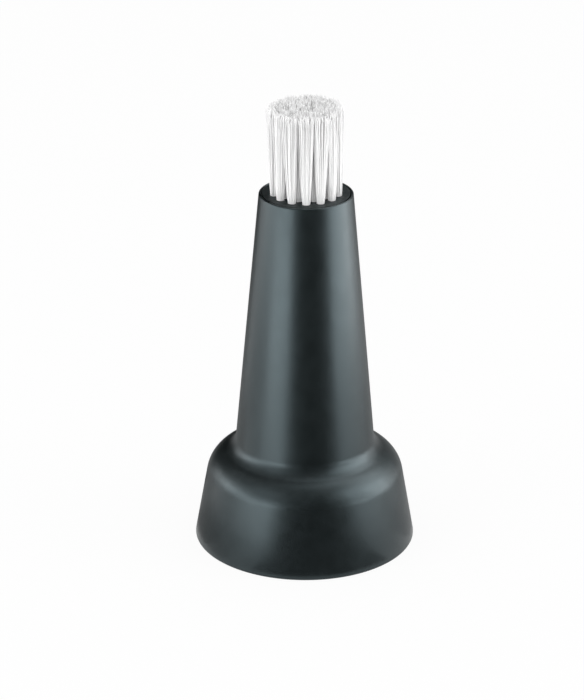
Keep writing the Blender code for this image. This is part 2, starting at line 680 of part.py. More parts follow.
def make_tuft(index, place, lean, spread, parts, cutters, dice):
    """One tuft: a plug in its hole and the strands that fan out of it."""
    x, y, angle = place
    plug_top = BODY_HEIGHT - TUFT_RECESS
    tip_level = BODY_HEIGHT + BRISTLE_LENGTH
    name = f"tuft_{index:02d}"
    plug = bmesh.new()
    add_cylinder(plug, TUFT_RADIUS, HOLE_FLOOR + FIT_GAP, plug_top, PLUG_SIDES)
    strands = bmesh.new()
    root_reach = TUFT_RADIUS * math.cos(math.pi / PLUG_SIDES) - STRAND_RADIUS
    for strand in range(STRANDS_PER_TUFT):
        share = math.sqrt((strand + 0.5) / STRANDS_PER_TUFT)
        bearing = strand * GOLDEN_ANGLE
        across = Vector((math.cos(bearing), math.sin(bearing), 0.0)) * share
        root = across * root_reach
        tip = Vector((across.x * spread[1], across.y * spread[0] - lean, 0.0))
        tip.x += dice.uniform(-TIP_WANDER, TIP_WANDER)
        tip.y += dice.uniform(-TIP_WANDER, TIP_WANDER)
        level = tip_level - dice.uniform(0.0, TRIM_UNEVENNESS)
        add_strand(strands, strand_stations(root, tip - root, level, plug_top), dice.uniform(0.0, math.pi))
    bmesh.ops.recalc_face_normals(strands, faces=strands.faces)
    tuft = new_object(name, mesh_from(name, plug), parts)
    bundle = new_object(f"{name}_strands_form", mesh_from(f"{name}_strands_form", strands), cutters)
    for item in (tuft, bundle):
        item.location = (x, y, 0.0)
        item.rotation_euler.z = angle
    add_boolean(tuft, bundle, "UNION")
    return tuft


def make_tufts(rings, parts, cutters):
    """Every tuft, the outer ring first and counted from the front."""
    dice = random.Random(RANDOM_SEED)
    radial, tangent = fan_room()
    tufts = []
    for ring in rings:
        spread = (radial, tangent) if len(ring) > 1 else (tangent, tangent)
        lean = FIELD_LEAN if ring is rings[0] else 0.0
        for place in ring:
            tufts.append(make_tuft(len(tufts) + 1, place, lean, spread, parts, cutters, dice))
    return tufts


def main():
    """Build every piece and hang it on the empty that carries it."""
    clear_scene()
    parts = new_collection("cleaning_brush_head")
    cutters = new_collection("cutters")
    still = new_object("housing_frame", None, parts)
    turning = new_object("brush_spin_axis", None, parts)
    plastic = new_material("housing_plastic", (0.045, 0.052, 0.052), 0.42)
    inner_plastic = new_material("plate_plastic", (0.030, 0.032, 0.034), 0.50)
    block_plastic = new_material("block_plastic", (0.040, 0.045, 0.045), 0.55)
    bronze = new_material("bush_bronze", (0.45, 0.27, 0.11), 0.45, 1.0)
    steel = new_material("spindle_steel", (0.55, 0.56, 0.57), 0.30, 1.0)
    rubber = new_material("seal_rubber", (0.020, 0.020, 0.020), 0.75)
    nylon = new_material("bristle_nylon", (0.82, 0.82, 0.80), 0.45)

    rings = tuft_rings()
    screws = around(SCREW_COUNT, screw_pitch_radius())
    front_bush = bush_outline(front_flange_radius(), WEB_TOP + FIT_GAP, -1.0)
    rear_bush = bush_outline(REAR_FLANGE_RADIUS, PLATE_LEVEL - FIT_GAP, 1.0)
    washers = (("front_thrust_washer", front_flange_radius(), WEB_TOP + FIT_GAP + FLANGE_THICKNESS + FIT_GAP),
               ("rear_thrust_washer", REAR_FLANGE_RADIUS, SOCKET_TOP + FIT_GAP))

    finish_piece(make_nose_housing(parts, cutters), plastic, still)
    finish_piece(turned("front_bush", front_bush, FITTING_STEPS, parts), bronze, still)
    finish_piece(turned("rear_bush", rear_bush, FITTING_STEPS, parts), bronze, still)
    finish_piece(make_rear_plate(parts, cutters), inner_plastic, still)
    for index, place in enumerate(screws, start=1):
        finish_piece(make_plate_screw(index, place, parts, cutters), steel, still)
    finish_piece(make_seal_ring(parts), rubber, still)

    finish_piece(make_spindle(parts, cutters), steel, turning)
    finish_piece(make_drive_socket(parts, cutters), steel, turning)
    finish_piece(make_pin("block_pin", HUB_RADIUS, BLOCK_PIN_LEVEL, parts), steel, turning)
    finish_piece(make_pin("socket_pin", SOCKET_RADIUS, SOCKET_PIN_LEVEL, parts), steel, turning)
    for name, flange_radius, level in washers:
        outline = ring_outline(BORE_RADIUS, flange_radius - WASHER_SETBACK, level, level + WASHER_THICKNESS)
        finish_piece(turned(name, outline, FITTING_STEPS, parts), steel, turning)
    finish_piece(make_tuft_block(rings, parts, cutters), block_plastic, turning)
    for tuft in make_tufts(rings, parts, cutters):
        finish_piece(tuft, nylon, turning)


main()
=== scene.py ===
"""Visual model of the power cleaning brush head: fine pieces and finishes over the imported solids.

Metres, +Z up, in the frame of the solids: the origin is the middle of the skirt's open mouth and
the front is towards -Y. Every piece is built where it belongs, so its object stays at the origin.
"""

from __future__ import annotations

import json
import logging
import math
import random
from collections.abc import Iterable, Sequence
from dataclasses import dataclass, field
from enum import Enum

import bmesh
import bpy
from mathutils import Matrix, Vector

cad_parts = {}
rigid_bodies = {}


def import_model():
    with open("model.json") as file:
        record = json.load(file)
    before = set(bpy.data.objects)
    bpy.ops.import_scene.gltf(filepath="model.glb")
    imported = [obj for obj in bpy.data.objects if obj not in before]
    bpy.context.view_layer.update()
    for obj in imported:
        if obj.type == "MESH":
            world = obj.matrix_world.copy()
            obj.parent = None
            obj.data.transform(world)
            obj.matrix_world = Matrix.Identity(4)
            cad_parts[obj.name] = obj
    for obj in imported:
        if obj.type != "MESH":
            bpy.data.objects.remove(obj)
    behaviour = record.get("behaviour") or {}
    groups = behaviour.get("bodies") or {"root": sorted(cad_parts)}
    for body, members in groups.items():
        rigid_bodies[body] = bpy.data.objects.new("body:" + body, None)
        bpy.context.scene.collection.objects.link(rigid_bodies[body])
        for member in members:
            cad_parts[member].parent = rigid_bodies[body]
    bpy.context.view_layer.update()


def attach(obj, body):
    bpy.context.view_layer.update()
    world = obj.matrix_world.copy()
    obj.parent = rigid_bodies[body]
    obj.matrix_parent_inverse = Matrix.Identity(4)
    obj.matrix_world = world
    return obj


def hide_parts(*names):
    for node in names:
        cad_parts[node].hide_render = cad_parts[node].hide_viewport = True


Point = tuple[float, float]
Place = tuple[float, float, float]
Colour = tuple[float, float, float]
Form = bmesh.types.BMesh
Vert = bmesh.types.BMVert
Edge = bmesh.types.BMEdge
Piece = bpy.types.Object
Material = bpy.types.Material
Node = bpy.types.Node
Socket = bpy.types.NodeSocket

LOG = logging.getLogger("brush_head")
MERGE_DISTANCE = 0.000001
SMOOTH_ANGLE = math.radians(34.0)
GOLDEN_ANGLE = math.pi * (3.0 - math.sqrt(5.0))
CENTRE = (0.0, 0.0, 0.0)
AXIS = (0.0, 0.0, 1.0)
WHITE: Colour = (1.0, 1.0, 1.0)
COOL_GLOSS: Colour = (0.73, 0.93, 1.0)
RING_STEPS = 96
PIN_HOLE_STEPS = 24
BUSH_ROUND = 0.0003
BUSH_EDGE = 0.00015
WASHER_EDGE = 0.00012


class Body(Enum):
    """The two bodies that the joint separates."""

    HOUSING = "housing"
    SPINDLE = "spindle"


class Slot(Enum):
    """The record's material slots."""

    HOUSING = "housing_plastic"
    PLATE = "plate_plastic"
    BLOCK = "block_plastic"
    BUSH = "bush_bronze"
    STEEL = "steel"
    SEAL = "seal_rubber"
    BRISTLE = "bristle_nylon"


class Slope(Enum):
    """The edge of a wedge that makes its slope: outwards or inwards, and up or down."""

    OUTER_UPPER = (1.0, 1.0)
    INNER_LOWER = (-1.0, -1.0)


# Outlines

def arc(centre: Point, radius: float, start: float, end: float, steps: int) -> list[Point]:
    """Draw an arc in the plane of radius and height.

    Args:
        centre: Middle of the arc.
        radius: Its radius.
        start: Angle of its first point.
        end: Angle of its last point.
        steps: Number of straight runs.

    Returns:
        The points along the arc, both ends included.
    """
    angles = [start + (end - start) * step / steps for step in range(steps + 1)]
    return [(centre[0] + radius * math.cos(angle), centre[1] + radius * math.sin(angle))
            for angle in angles]


def radius_at(outline: Sequence[Point], level: float) -> float:
    """Find an outline's radius at a height.

    Args:
        outline: Points that rise from one to the next.
        level: The height.

    Returns:
        The radius there, or that of the last point above the outline's end.
    """
    for lower, upper in zip(outline, outline[1:]):
        if lower[1] <= level <= upper[1]:
            share = (level - lower[1]) / (upper[1] - lower[1])
            return lower[0] + (upper[0] - lower[0]) * share
    return outline[-1][0]


def around(count: int, radius: float, start: float = 0.0) -> list[Place]:
    """Space places evenly round the axis.

    Args:
        count: Number of places.
        radius: Radius of their circle.
        start: Angle of the first place from the front.

    Returns:
        X, Y and the angle from the front, for each place.
    """
    angles = [start + 2.0 * math.pi * index / count for index in range(count)]
    return [(radius * math.sin(angle), -radius * math.cos(angle), angle) for angle in angles]


def standing(place: Place) -> Matrix:
    """Move and turn from the axis to a place given by X, Y and angle."""
    return Matrix.Translation((place[0], place[1], 0.0)) @ Matrix.Rotation(place[2], 4, "Z")


# Mesh work

def edges_of(verts: Iterable[Vert]) -> list[Edge]:
    """List the edges that meet points, each once."""
    return list({edge for vert in verts for edge in vert.link_edges})


@dataclass
class Loop:
    """A round edge loop that is carried along a section to draw a wall.

    Args:
        form: The mesh under work.
        edges: The loop's edges.
        radius: Its radius.
        level: Its height.
        place: X and Y of its middle.
    """

    form: Form
    edges: list[Edge]
    radius: float
    level: float
    place: Point = (0.0, 0.0)

    @classmethod
    def drawn(cls, form: Form, radius: float, level: float, steps: int,
              place: Point = (0.0, 0.0)) -> Loop:
        """Draw a new loop.

        Args:
            form: The mesh under work.
            radius: The loop's radius.
            level: Its height.
            steps: Number of edges.
            place: X and Y of its middle.

        Returns:
            The loop.
        """
        circle = bmesh.ops.create_circle(form, cap_ends=False, segments=steps, radius=radius,
                                         matrix=Matrix.Translation((*place, level)))
        return cls(form, edges_of(circle["verts"]), radius, level, place)

    def carried(self, *stations: Point) -> Loop:
        """Extrude the loop through stations of radius and height.

        Args:
            stations: Radius and height of each new loop in turn.

        Returns:
            The last loop.
        """
        loop = self
        middle = Matrix.Translation((-self.place[0], -self.place[1], 0.0))
        for radius, level in stations:
            drawn = bmesh.ops.extrude_edge_only(self.form, edges=loop.edges)["geom"]
            verts = [item for item in drawn if isinstance(item, Vert)]
            edges = [item for item in drawn
                     if isinstance(item, Edge) and all(vert in verts for vert in item.verts)]
            ratio = radius / loop.radius
            bmesh.ops.scale(self.form, verts=verts, vec=(ratio, ratio, 1.0), space=middle)
            bmesh.ops.translate(self.form, verts=verts, vec=(0.0, 0.0, level - loop.level))
            loop = Loop(self.form, edges, radius, level, self.place)
        return loop

    def close(self) -> None:
        """Close the loop with one face."""
        bmesh.ops.contextual_create(self.form, geom=self.edges)


def pierced_face(form: Form, loops: Iterable[Loop]) -> None:
    """Fill the flat face that lies between loops.

    Args:
        form: The mesh under work.
        loops: The face's outer loop and the loops of its holes.
    """
    edges = [edge for loop in loops for edge in loop.edges]
    bmesh.ops.triangle_fill(form, use_beauty=True, use_dissolve=False, edges=edges, normal=AXIS)


def settled(form: Form) -> Form:
    """Merge doubled points and turn every face outwards.

    Args:
        form: The mesh under work.

    Returns:
        The same form.
    """
    bmesh.ops.remove_doubles(form, verts=form.verts[:], dist=MERGE_DISTANCE)
    bmesh.ops.recalc_face_normals(form, faces=form.faces[:])
    return form


def turned(section: Sequence[Point], steps: int, closed: bool = True) -> Form:
    """Spin a section about the axis.

    Args:
        section: Radius and height of its points.
        steps: Number of steps in the full turn.
        closed: Whether its last point joins its first.

    Returns:
        The turned form, with its faces pointing outwards.
    """
    form = bmesh.new()
    corners = [form.verts.new((radius, 0.0, level)) for radius, level in section]
    for pair in list(zip(corners, corners[1:])) + ([(corners[-1], corners[0])] if closed else []):
        form.edges.new(pair)
    bmesh.ops.spin(form, geom=form.verts[:] + form.edges[:], cent=CENTRE, axis=AXIS,
                   angle=2.0 * math.pi, steps=steps, use_merge=True)
    return settled(form)


def rounded(form: Form, edges: Iterable[Edge], width: float, segments: int) -> Form:
    """Bevel edges.

    Args:
        form: The mesh under work.
        edges: The edges.
        width: How far the bevel reaches on each side.
        segments: Number of faces across the bevel.

    Returns:
        The same form.
    """
    bmesh.ops.bevel(form, geom=list(edges), offset=width, offset_type="OFFSET", segments=segments,
                    profile=0.5, affect="EDGES", clamp_overlap=True, material=-1)
    return form


def softened(form: Form, corners: Iterable[Point], width: float, segments: int) -> Form:
    """Bevel the round edges that run through corners of a section.

    Args:
        form: A turned form.
        corners: Radius and height of each edge.
        width: How far the bevel reaches on each side.
        segments: Number of faces across the bevel.

    Returns:
        The same form.
    """
    edges = [edge for radius, level in corners for edge in form.edges
             if all(abs(vert.co.z - level) < MERGE_DISTANCE and
                    abs(math.hypot(vert.co.x, vert.co.y) - radius) < MERGE_DISTANCE
                    for vert in edge.verts)]
    return rounded(form, edges, width, segments)


def block(form: Form, size: Sequence[float], middle: Sequence[float]) -> list[Vert]:
    """Add a rectangular block.

    Args:
        form: The mesh under work.
        size: Its three sides.
        middle: Its middle.

    Returns:
        Its corners.
    """
    verts = bmesh.ops.create_cube(form, size=1.0)["verts"]
    bmesh.ops.scale(form, verts=verts, vec=size)
    bmesh.ops.translate(form, verts=verts, vec=middle)
    return verts


def wedges(count: int, width: float, reach: Point, levels: Point, slope: Slope,
           shift: float) -> Form:
    """Stand wedges evenly round the axis, the first half a step from the front.

    Args:
        count: Number of wedges.
        width: Their width.
        reach: Their inner and outer radius.
        levels: Heights of their underside and top.
        slope: The edge that is moved to make them wedges.
        shift: How far up it is moved.

    Returns:
        The wedges.
    """
    form = bmesh.new()
    size = (width, reach[1] - reach[0], levels[1] - levels[0])
    middle = Vector((0.0, -sum(reach) / 2.0, sum(levels) / 2.0))
    outwards, upwards = slope.value
    for _, _, angle in around(count, reach[1], math.pi / count):
        verts = block(form, size, middle)
        moved = [vert for vert in verts if (middle.y - vert.co.y) * outwards > 0.0 and
                 (vert.co.z - middle.z) * upwards > 0.0]
        bmesh.ops.translate(form, verts=moved, vec=(0.0, 0.0, shift))
        turn = Matrix.Rotation(angle, 3, "Z")
        bmesh.ops.rotate(form, verts=verts, cent=CENTRE, matrix=turn)
    return form


def cross_cylinder(radius: float, half_length: float, level: float, sides: int) -> Form:
    """Make a cylinder that lies along X across the axis.

    Args:
        radius: Its radius.
        half_length: Half its length.
        level: Height of its middle line.
        sides: Number of sides.

    Returns:
        The cylinder.
    """
    form = bmesh.new()
    turn = Matrix.Translation((0.0, 0.0, level)) @ Matrix.Rotation(math.pi / 2.0, 4, "Y")
    bmesh.ops.create_cone(form, cap_ends=True, segments=sides, radius1=radius, radius2=radius,
                          depth=2.0 * half_length, matrix=turn)
    return form


def joined(form: Form, other: Form, place: Matrix | None = None) -> None:
    """Add another form to a form.

    Args:
        form: The mesh under work.
        other: The form to add, which is freed.
        place: Where it goes.
    """
    carrier = bpy.data.meshes.new("carrier")
    other.to_mesh(carrier)
    other.free()
    if place is not None:
        carrier.transform(place)
    form.from_mesh(carrier)
    bpy.data.meshes.remove(carrier)


def in_scene(name: str, data: bpy.types.ID) -> Piece:
    """Make an object of a mesh, a lamp or a camera.

    Args:
        name: The object's name.
        data: What it holds.

    Returns:
        The object, linked to the scene.
    """
    item = bpy.data.objects.new(name, data)
    bpy.context.scene.collection.objects.link(item)
    return item


def as_object(name: str, form: Form) -> Piece:
    """Make an object of a form.

    Args:
        name: The object's name.
        form: Its shape, which is freed.

    Returns:
        The object, linked to the scene.
    """
    mesh = bpy.data.meshes.new(name)
    form.to_mesh(mesh)
    form.free()
    return in_scene(name, mesh)


def cut(item: Piece, tool: Form) -> Piece:
    """Cut a piece with a tool.

    Args:
        item: The piece.
        tool: The tool's shape, which is freed.

    Returns:
        The same piece, with the cut applied.
    """
    cutter = as_object("tool", tool)
    change = item.modifiers.new("work", "BOOLEAN")
    change.operation = "DIFFERENCE"
    change.solver = "EXACT"
    change.object = cutter
    shape = item.evaluated_get(bpy.context.evaluated_depsgraph_get())
    mesh = bpy.data.meshes.new_from_object(shape)
    item.modifiers.clear()
    item.data = mesh
    bpy.data.objects.remove(cutter, do_unlink=True)
    return item


def finished(item: Piece, material: Material, body: Body, node: str) -> None:
    """Shade a piece, dress it and hand it to the body that carries it.

    Args:
        item: The piece.
        material: Its finish.
        body: The body that it rides on.
        node: The solid that it stands for.
    """
    item.data.shade_smooth()
    item.data.set_sharp_from_angle(angle=SMOOTH_ANGLE)
    item.data.materials.clear()
    item.data.materials.append(material)
    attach(item, body.value)
    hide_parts(node)
    LOG.info("%s: %d faces, on %s", item.name, len(item.data.polygons), body.value)


# Material work

class NodeSheet:
    """Adds nodes to a node tree and wires them, so that a finish reads from top to bottom."""

    def __init__(self, tree: bpy.types.NodeTree) -> None:
        """Take the tree to work on."""
        self.tree = tree

    def found(self, kind: str) -> Node:
        """Find the node of one type that the tree came with."""
        return next(node for node in self.tree.nodes if node.type == kind)

    def add(self, kind: str, inputs: dict[str | int, object] | None = None,
            **settings: object) -> Node:
        """Add a node.

        Args:
            kind: The node's type.
            inputs: A value or an output socket for each input that isn't left as it is.
            settings: The node's own settings.

        Returns:
            The node.
        """
        node = self.tree.nodes.new(kind)
        for name, value in settings.items():
            setattr(node, name, value)
        self.dress(node, inputs or {})
        return node

    def dress(self, node: Node, inputs: dict[str | int, object]) -> None:
        """Wire outputs to a node's inputs, or set the inputs' own values.

        Args:
            node: The node.
            inputs: A value or an output socket for each input. A colour is given without alpha.
        """
        for name, value in inputs.items():
            socket = node.inputs[name]
            if isinstance(value, Socket):
                self.tree.links.new(value, socket)
            else:
                socket.default_value = (*value, 1.0) if socket.type == "RGBA" else value

    def math(self, operation: str, *values: object) -> Socket:
        """Work out a number from sockets or numbers."""
        return self.add("ShaderNodeMath", dict(enumerate(values)), operation=operation).outputs[0]

    def plus(self, value: object, part: object, share: float) -> Socket:
        """Add a share of one number to another."""
        return self.math("ADD", value, self.math("MULTIPLY", part, share))

    def height_of(self, vector: object) -> Socket:
        """Take the Z part of a vector."""
        return self.add("ShaderNodeSeparateXYZ", {"Vector": vector}).outputs["Z"]

    def noise(self, vector: object, scale: object, detail: float, roughness: float) -> Socket:
        """Add a noise pattern and return its value."""
        inputs = {"Vector": vector, "Scale": scale, "Detail": detail, "Roughness": roughness}
        return self.add("ShaderNodeTexNoise", inputs).outputs["Fac"]

    def ramped(self, value: object, low: float, high: float, to_low: float = 0.0,
               to_high: float = 1.0) -> Socket:
        """Map a value smoothly from one range to another.

        Args:
            value: The value.
            low: Where the first range starts.
            high: Where it ends.
            to_low: What its start becomes.
            to_high: What its end becomes.

        Returns:
            The mapped value.
        """
        inputs = {"Value": value, "From Min": low, "From Max": high,
                  "To Min": to_low, "To Max": to_high}
        node = self.add("ShaderNodeMapRange", inputs, interpolation_type="SMOOTHSTEP")
        return node.outputs["Result"]

    def mixed(self, share: object, first: object, second: object) -> Socket:
        """Mix two colours."""
        inputs = {0: share, 6: first, 7: second}
        return self.add("ShaderNodeMix", inputs, data_type="RGBA").outputs[2]

    def bumped(self, height: Socket, strength: float, depth: float) -> Socket:
        """Turn a height into a normal."""
        inputs = {"Strength": strength, "Distance": depth, "Height": height}
        return self.add("ShaderNodeBump", inputs).outputs["Normal"]


class Effect:
    """A shader node group that more than one finish uses, fed with a vector and numbers."""

    def __init__(self, name: str, numbers: dict[str, float], outputs: Sequence[str]) -> None:
        """Make the group and its named sockets.

        Args:
            name: The group's name.
            numbers: Name and first value of each number input.
            outputs: Names of its number outputs.
        """
        self.tree = bpy.data.node_groups.new(name, "ShaderNodeTree")
        new_socket = self.tree.interface.new_socket
        new_socket("Vector", in_out="INPUT", socket_type="NodeSocketVector")
        for label, value in numbers.items():
            socket = new_socket(label, in_out="INPUT", socket_type="NodeSocketFloat")
            socket.default_value = value
        for label in outputs:
            new_socket(label, in_out="OUTPUT", socket_type="NodeSocketFloat")
        self.sheet = NodeSheet(self.tree)
        self.given = self.tree.nodes.new("NodeGroupInput").outputs
        self.result = self.tree.nodes.new("NodeGroupOutput")

    def put(self, **results: Socket) -> Effect:
        """Wire the results to the group's outputs."""
        self.sheet.dress(self.result, results)
        return self

    def placed(self, sheet: NodeSheet, vector: Socket,
               **numbers: float) -> bpy.types.bpy_prop_collection:
        """Place the group in a material.

        Args:
            sheet: The material's sheet.
            vector: The coordinates that it reads.
            numbers: The material's own values for it.

        Returns:
            The outputs of the placed group.
        """
        inputs = {"Vector": vector, **numbers}
        return sheet.add("ShaderNodeGroup", inputs, node_tree=self.tree).outputs


class Effects:
    """The shared effects, each built once."""

    def __init__(self) -> None:
        """Build every group."""
        self.grain = self._grain()
        self.turning = self._turning()
        self.wear = self._wear()
        self.dust = self._dust()
        self.scuffs = self._scuffs()

    @staticmethod
    def _grain() -> Effect:
        """Fine eroded grain of a mould, with a slower mottle over it.

        Returns:
            The effect, which gives a height and mottle.
        """
        effect = Effect("mould_grain", {"Scale": 5000.0, "Mottle_Scale": 260.0},
                        ["Height", "Mottle"])
        sheet, given = effect.sheet, effect.given
        vector, scale = given["Vector"], given["Scale"]
        fine = sheet.noise(vector, scale, detail=2.0, roughness=0.5)
        pits = sheet.add("ShaderNodeTexVoronoi", {"Vector": vector, "Scale": scale})
        mottle = sheet.noise(vector, given["Mottle_Scale"], detail=4.0, roughness=0.6)
        height = sheet.plus(fine, pits.outputs["Distance"], share=0.5)
        return effect.put(Height=height, Mottle=mottle)

    @staticmethod
    def _turning() -> Effect:
        """Fine rings left by turning, which follow radius and height.

        Returns:
            The effect, which gives a height and line.
        """
        effect = Effect("turning_marks", {"Scale": 4000.0}, ["Height", "Line"])
        sheet, given = effect.sheet, effect.given
        parts = sheet.add("ShaderNodeSeparateXYZ", {"Vector": given["Vector"]}).outputs
        squares = [sheet.math("POWER", parts[name], 2.0) for name in ("X", "Y")]
        radius = sheet.math("SQRT", sheet.math("ADD", *squares))
        rings = sheet.add("ShaderNodeCombineXYZ", {"X": radius, "Z": parts["Z"]})
        fine = sheet.noise(rings.outputs["Vector"], given["Scale"], detail=2.0, roughness=0.6)
        return effect.put(Height=fine, Line=sheet.ramped(fine, low=0.45, high=0.65))

    @staticmethod
    def _wear() -> Effect:
        """Rubbed bare patches along an edge at one height.

        Returns:
            The effect, which gives a mask.
        """
        effect = Effect("edge_wear", {"Level": 0.0, "Reach": 0.001, "Scale": 900.0}, ["Mask"])
        sheet, given = effect.sheet, effect.given
        away = sheet.math("SUBTRACT", sheet.height_of(given["Vector"]), given["Level"])
        far = sheet.math("DIVIDE", sheet.math("ABSOLUTE", away), given["Reach"])
        near = sheet.math("SUBTRACT", 1.0, sheet.math("MINIMUM", far, 1.0))
        broken = sheet.noise(given["Vector"], given["Scale"], detail=5.0, roughness=0.65)
        worn = sheet.math("MULTIPLY", near, broken)
        return effect.put(Mask=sheet.ramped(worn, low=0.32, high=0.62))

    @staticmethod
    def _dust() -> Effect:
        """A thin film that settles on faces that look up.

        Returns:
            The effect, which gives a mask.
        """
        effect = Effect("settled_dust", {"Scale": 400.0}, ["Mask"])
        sheet, given = effect.sheet, effect.given
        facing = sheet.add("ShaderNodeNewGeometry").outputs["Normal"]
        lying = sheet.ramped(sheet.height_of(facing), low=0.35, high=1.0)
        film = sheet.noise(given["Vector"], given["Scale"], detail=6.0, roughness=0.7)
        patchy = sheet.ramped(film, low=0.4, high=0.75)
        return effect.put(Mask=sheet.math("MULTIPLY", lying, patchy))

    @staticmethod
    def _scuffs() -> Effect:
        """Sparse fine scratches that run in one slanted direction.

        Returns:
            The effect, which gives a mask.
        """
        effect = Effect("fine_scuffs", {"Scale": 300.0, "Slant": 0.6}, ["Mask"])
        sheet, given = effect.sheet, effect.given
        turn = sheet.add("ShaderNodeVectorRotate",
                         {"Vector": given["Vector"], "Angle": given["Slant"]},
                         rotation_type="Y_AXIS")
        drawn = sheet.add("ShaderNodeMapping",
                          {"Vector": turn.outputs["Vector"], "Scale": (12.0, 12.0, 0.5)})
        lines = sheet.noise(drawn.outputs["Vector"], given["Scale"], detail=1.0, roughness=0.4)
        return effect.put(Mask=sheet.ramped(lines, low=0.69, high=0.74))


def new_material(name: str) -> tuple[Material, NodeSheet, Node, Socket]:
    """Start a material.

    Args:
        name: The material's name.

    Returns:
        The material, its sheet, its Principled shader and its Object coordinates.
    """
    material = bpy.data.materials.new(name)
    material.use_nodes = True
    sheet = NodeSheet(material.node_tree)
    vector = sheet.add("ShaderNodeTexCoord").outputs["Object"]
    return material, sheet, sheet.found("BSDF_PRINCIPLED"), vector


@dataclass(frozen=True)
class MouldedPlastic:
    """Satin moulded plastic: eroded grain, a slow mottle, edge wear, dust and fine scuffs."""

    name: str
    colour: Colour
    roughness: float
    specular_tint: Colour = WHITE
    specular_level: float = 0.5
    ior: float = 1.50
    roughness_spread: float = 0.03
    tone_shares: Point = (0.90, 1.12)
    grain_scale: float = 5200.0
    grain_strength: float = 0.12
    grain_depth: float = 0.00003
    wear_level: float = 0.0
    wear_reach: float = 0.0008
    wear_share: float = 0.5
    wear_gain: float = 1.9
    wear_lift: float = 0.006
    wear_polish: float = 0.10
    scuff_roughness: float = 0.10
    scuff_depth: float = 0.4
    dust_share: float = 0.10
    dust_colour: Colour = (0.32, 0.31, 0.29)

    def material(self, effects: Effects) -> Material:
        """Build the material.

        Args:
            effects: The shared effects.

        Returns:
            The material.
        """
        material, sheet, shader, vector = new_material(self.name)
        grain = effects.grain.placed(sheet, vector, Scale=self.grain_scale)
        wear = effects.wear.placed(sheet, vector, Level=self.wear_level,
                                   Reach=self.wear_reach)["Mask"]
        dust = effects.dust.placed(sheet, vector)["Mask"]
        scuffs = effects.scuffs.placed(sheet, vector)["Mask"]
        mottle = grain["Mottle"]
        dark, light = (tuple(part * share for part in self.colour) for share in self.tone_shares)
        rubbed = tuple(min(1.0, part * self.wear_gain + self.wear_lift) for part in self.colour)
        toned = sheet.mixed(sheet.ramped(mottle, low=0.3, high=0.7), dark, light)
        worn = sheet.mixed(sheet.math("MULTIPLY", wear, self.wear_share), toned, rubbed)
        film = sheet.math("MULTIPLY", dust, self.dust_share)
        rough = sheet.ramped(mottle, low=0.25, high=0.75,
                             to_low=self.roughness - self.roughness_spread,
                             to_high=self.roughness + self.roughness_spread)
        rough = sheet.math("ADD", rough, film)
        rough = sheet.plus(rough, wear, -self.wear_polish)
        rough = sheet.plus(rough, scuffs, self.scuff_roughness)
        height = sheet.plus(grain["Height"], scuffs, -self.scuff_depth)
        sheet.dress(shader, {
            "Base Color": sheet.mixed(film, worn, self.dust_colour),
            "Roughness": rough,
            "IOR": self.ior,
            "Specular IOR Level": self.specular_level,
            "Specular Tint": self.specular_tint,
            "Normal": sheet.bumped(height, self.grain_strength, self.grain_depth),
        })
        return material


@dataclass(frozen=True)
class TurnedMetal:
    """Turned or ground metal: fine rings, a slow stain and scratches."""

    name: str
    colour: Colour
    stain: Colour
    roughness: float
    ring_roughness: Point = (-0.05, 0.07)
    ring_scale: float = 5000.0
    ring_strength: float = 0.20
    ring_depth: float = 0.00002
    stain_scale: float = 320.0
    stain_share: float = 0.35
    stain_roughness: float = 0.25
    scuff_scale: float = 420.0
    scuff_depth: float = 0.5

    def material(self, effects: Effects) -> Material:
        """Build the material.

        Args:
            effects: The shared effects.

        Returns:
            The material.
        """
        material, sheet, shader, vector = new_material(self.name)
        rings = effects.turning.placed(sheet, vector, Scale=self.ring_scale)
        mottle = effects.grain.placed(sheet, vector, Mottle_Scale=self.stain_scale)["Mottle"]
        scuffs = effects.scuffs.placed(sheet, vector, Scale=self.scuff_scale)["Mask"]
        patch = sheet.ramped(mottle, low=0.42, high=0.72, to_high=self.stain_share)
        between, within = (self.roughness + change for change in self.ring_roughness)
        rough = sheet.ramped(rings["Line"], low=0.0, high=1.0, to_low=between, to_high=within)
        height = sheet.plus(rings["Height"], scuffs, -self.scuff_depth)
        sheet.dress(shader, {
            "Base Color": sheet.mixed(patch, self.colour, self.stain),
            "Metallic": 1.0,
            "Roughness": sheet.plus(rough, patch, self.stain_roughness),
            "Normal": sheet.bumped(height, self.ring_strength, self.ring_depth),
        })
        return material


@dataclass(frozen=True)
class SealRubber:
    """Black rubber with a talc bloom and a matt grain."""

    name: str
    colour: Colour = (0.020, 0.020, 0.020)
    roughness: float = 0.52
    bloom: Colour = (0.075, 0.075, 0.072)
    bloom_scale: float = 500.0
    bloom_share: float = 0.6
    grain_scale: float = 3800.0
    grain_strength: float = 0.3
    grain_depth: float = 0.00004

    def material(self, effects: Effects) -> Material:
        """Build the material.

        Args:
            effects: The shared effects.

        Returns:
            The material.
        """
        material, sheet, shader, vector = new_material(self.name)
        grain = effects.grain.placed(sheet, vector, Scale=self.grain_scale,
                                     Mottle_Scale=self.bloom_scale)
        bloomed = sheet.ramped(grain["Mottle"], low=0.45, high=0.8, to_high=self.bloom_share)
        sheet.dress(shader, {
            "Base Color": sheet.mixed(bloomed, self.colour, self.bloom),
            "Roughness": sheet.math("ADD", bloomed, self.roughness),
            "Normal": sheet.bumped(grain["Height"], self.grain_strength, self.grain_depth),
        })
        return material


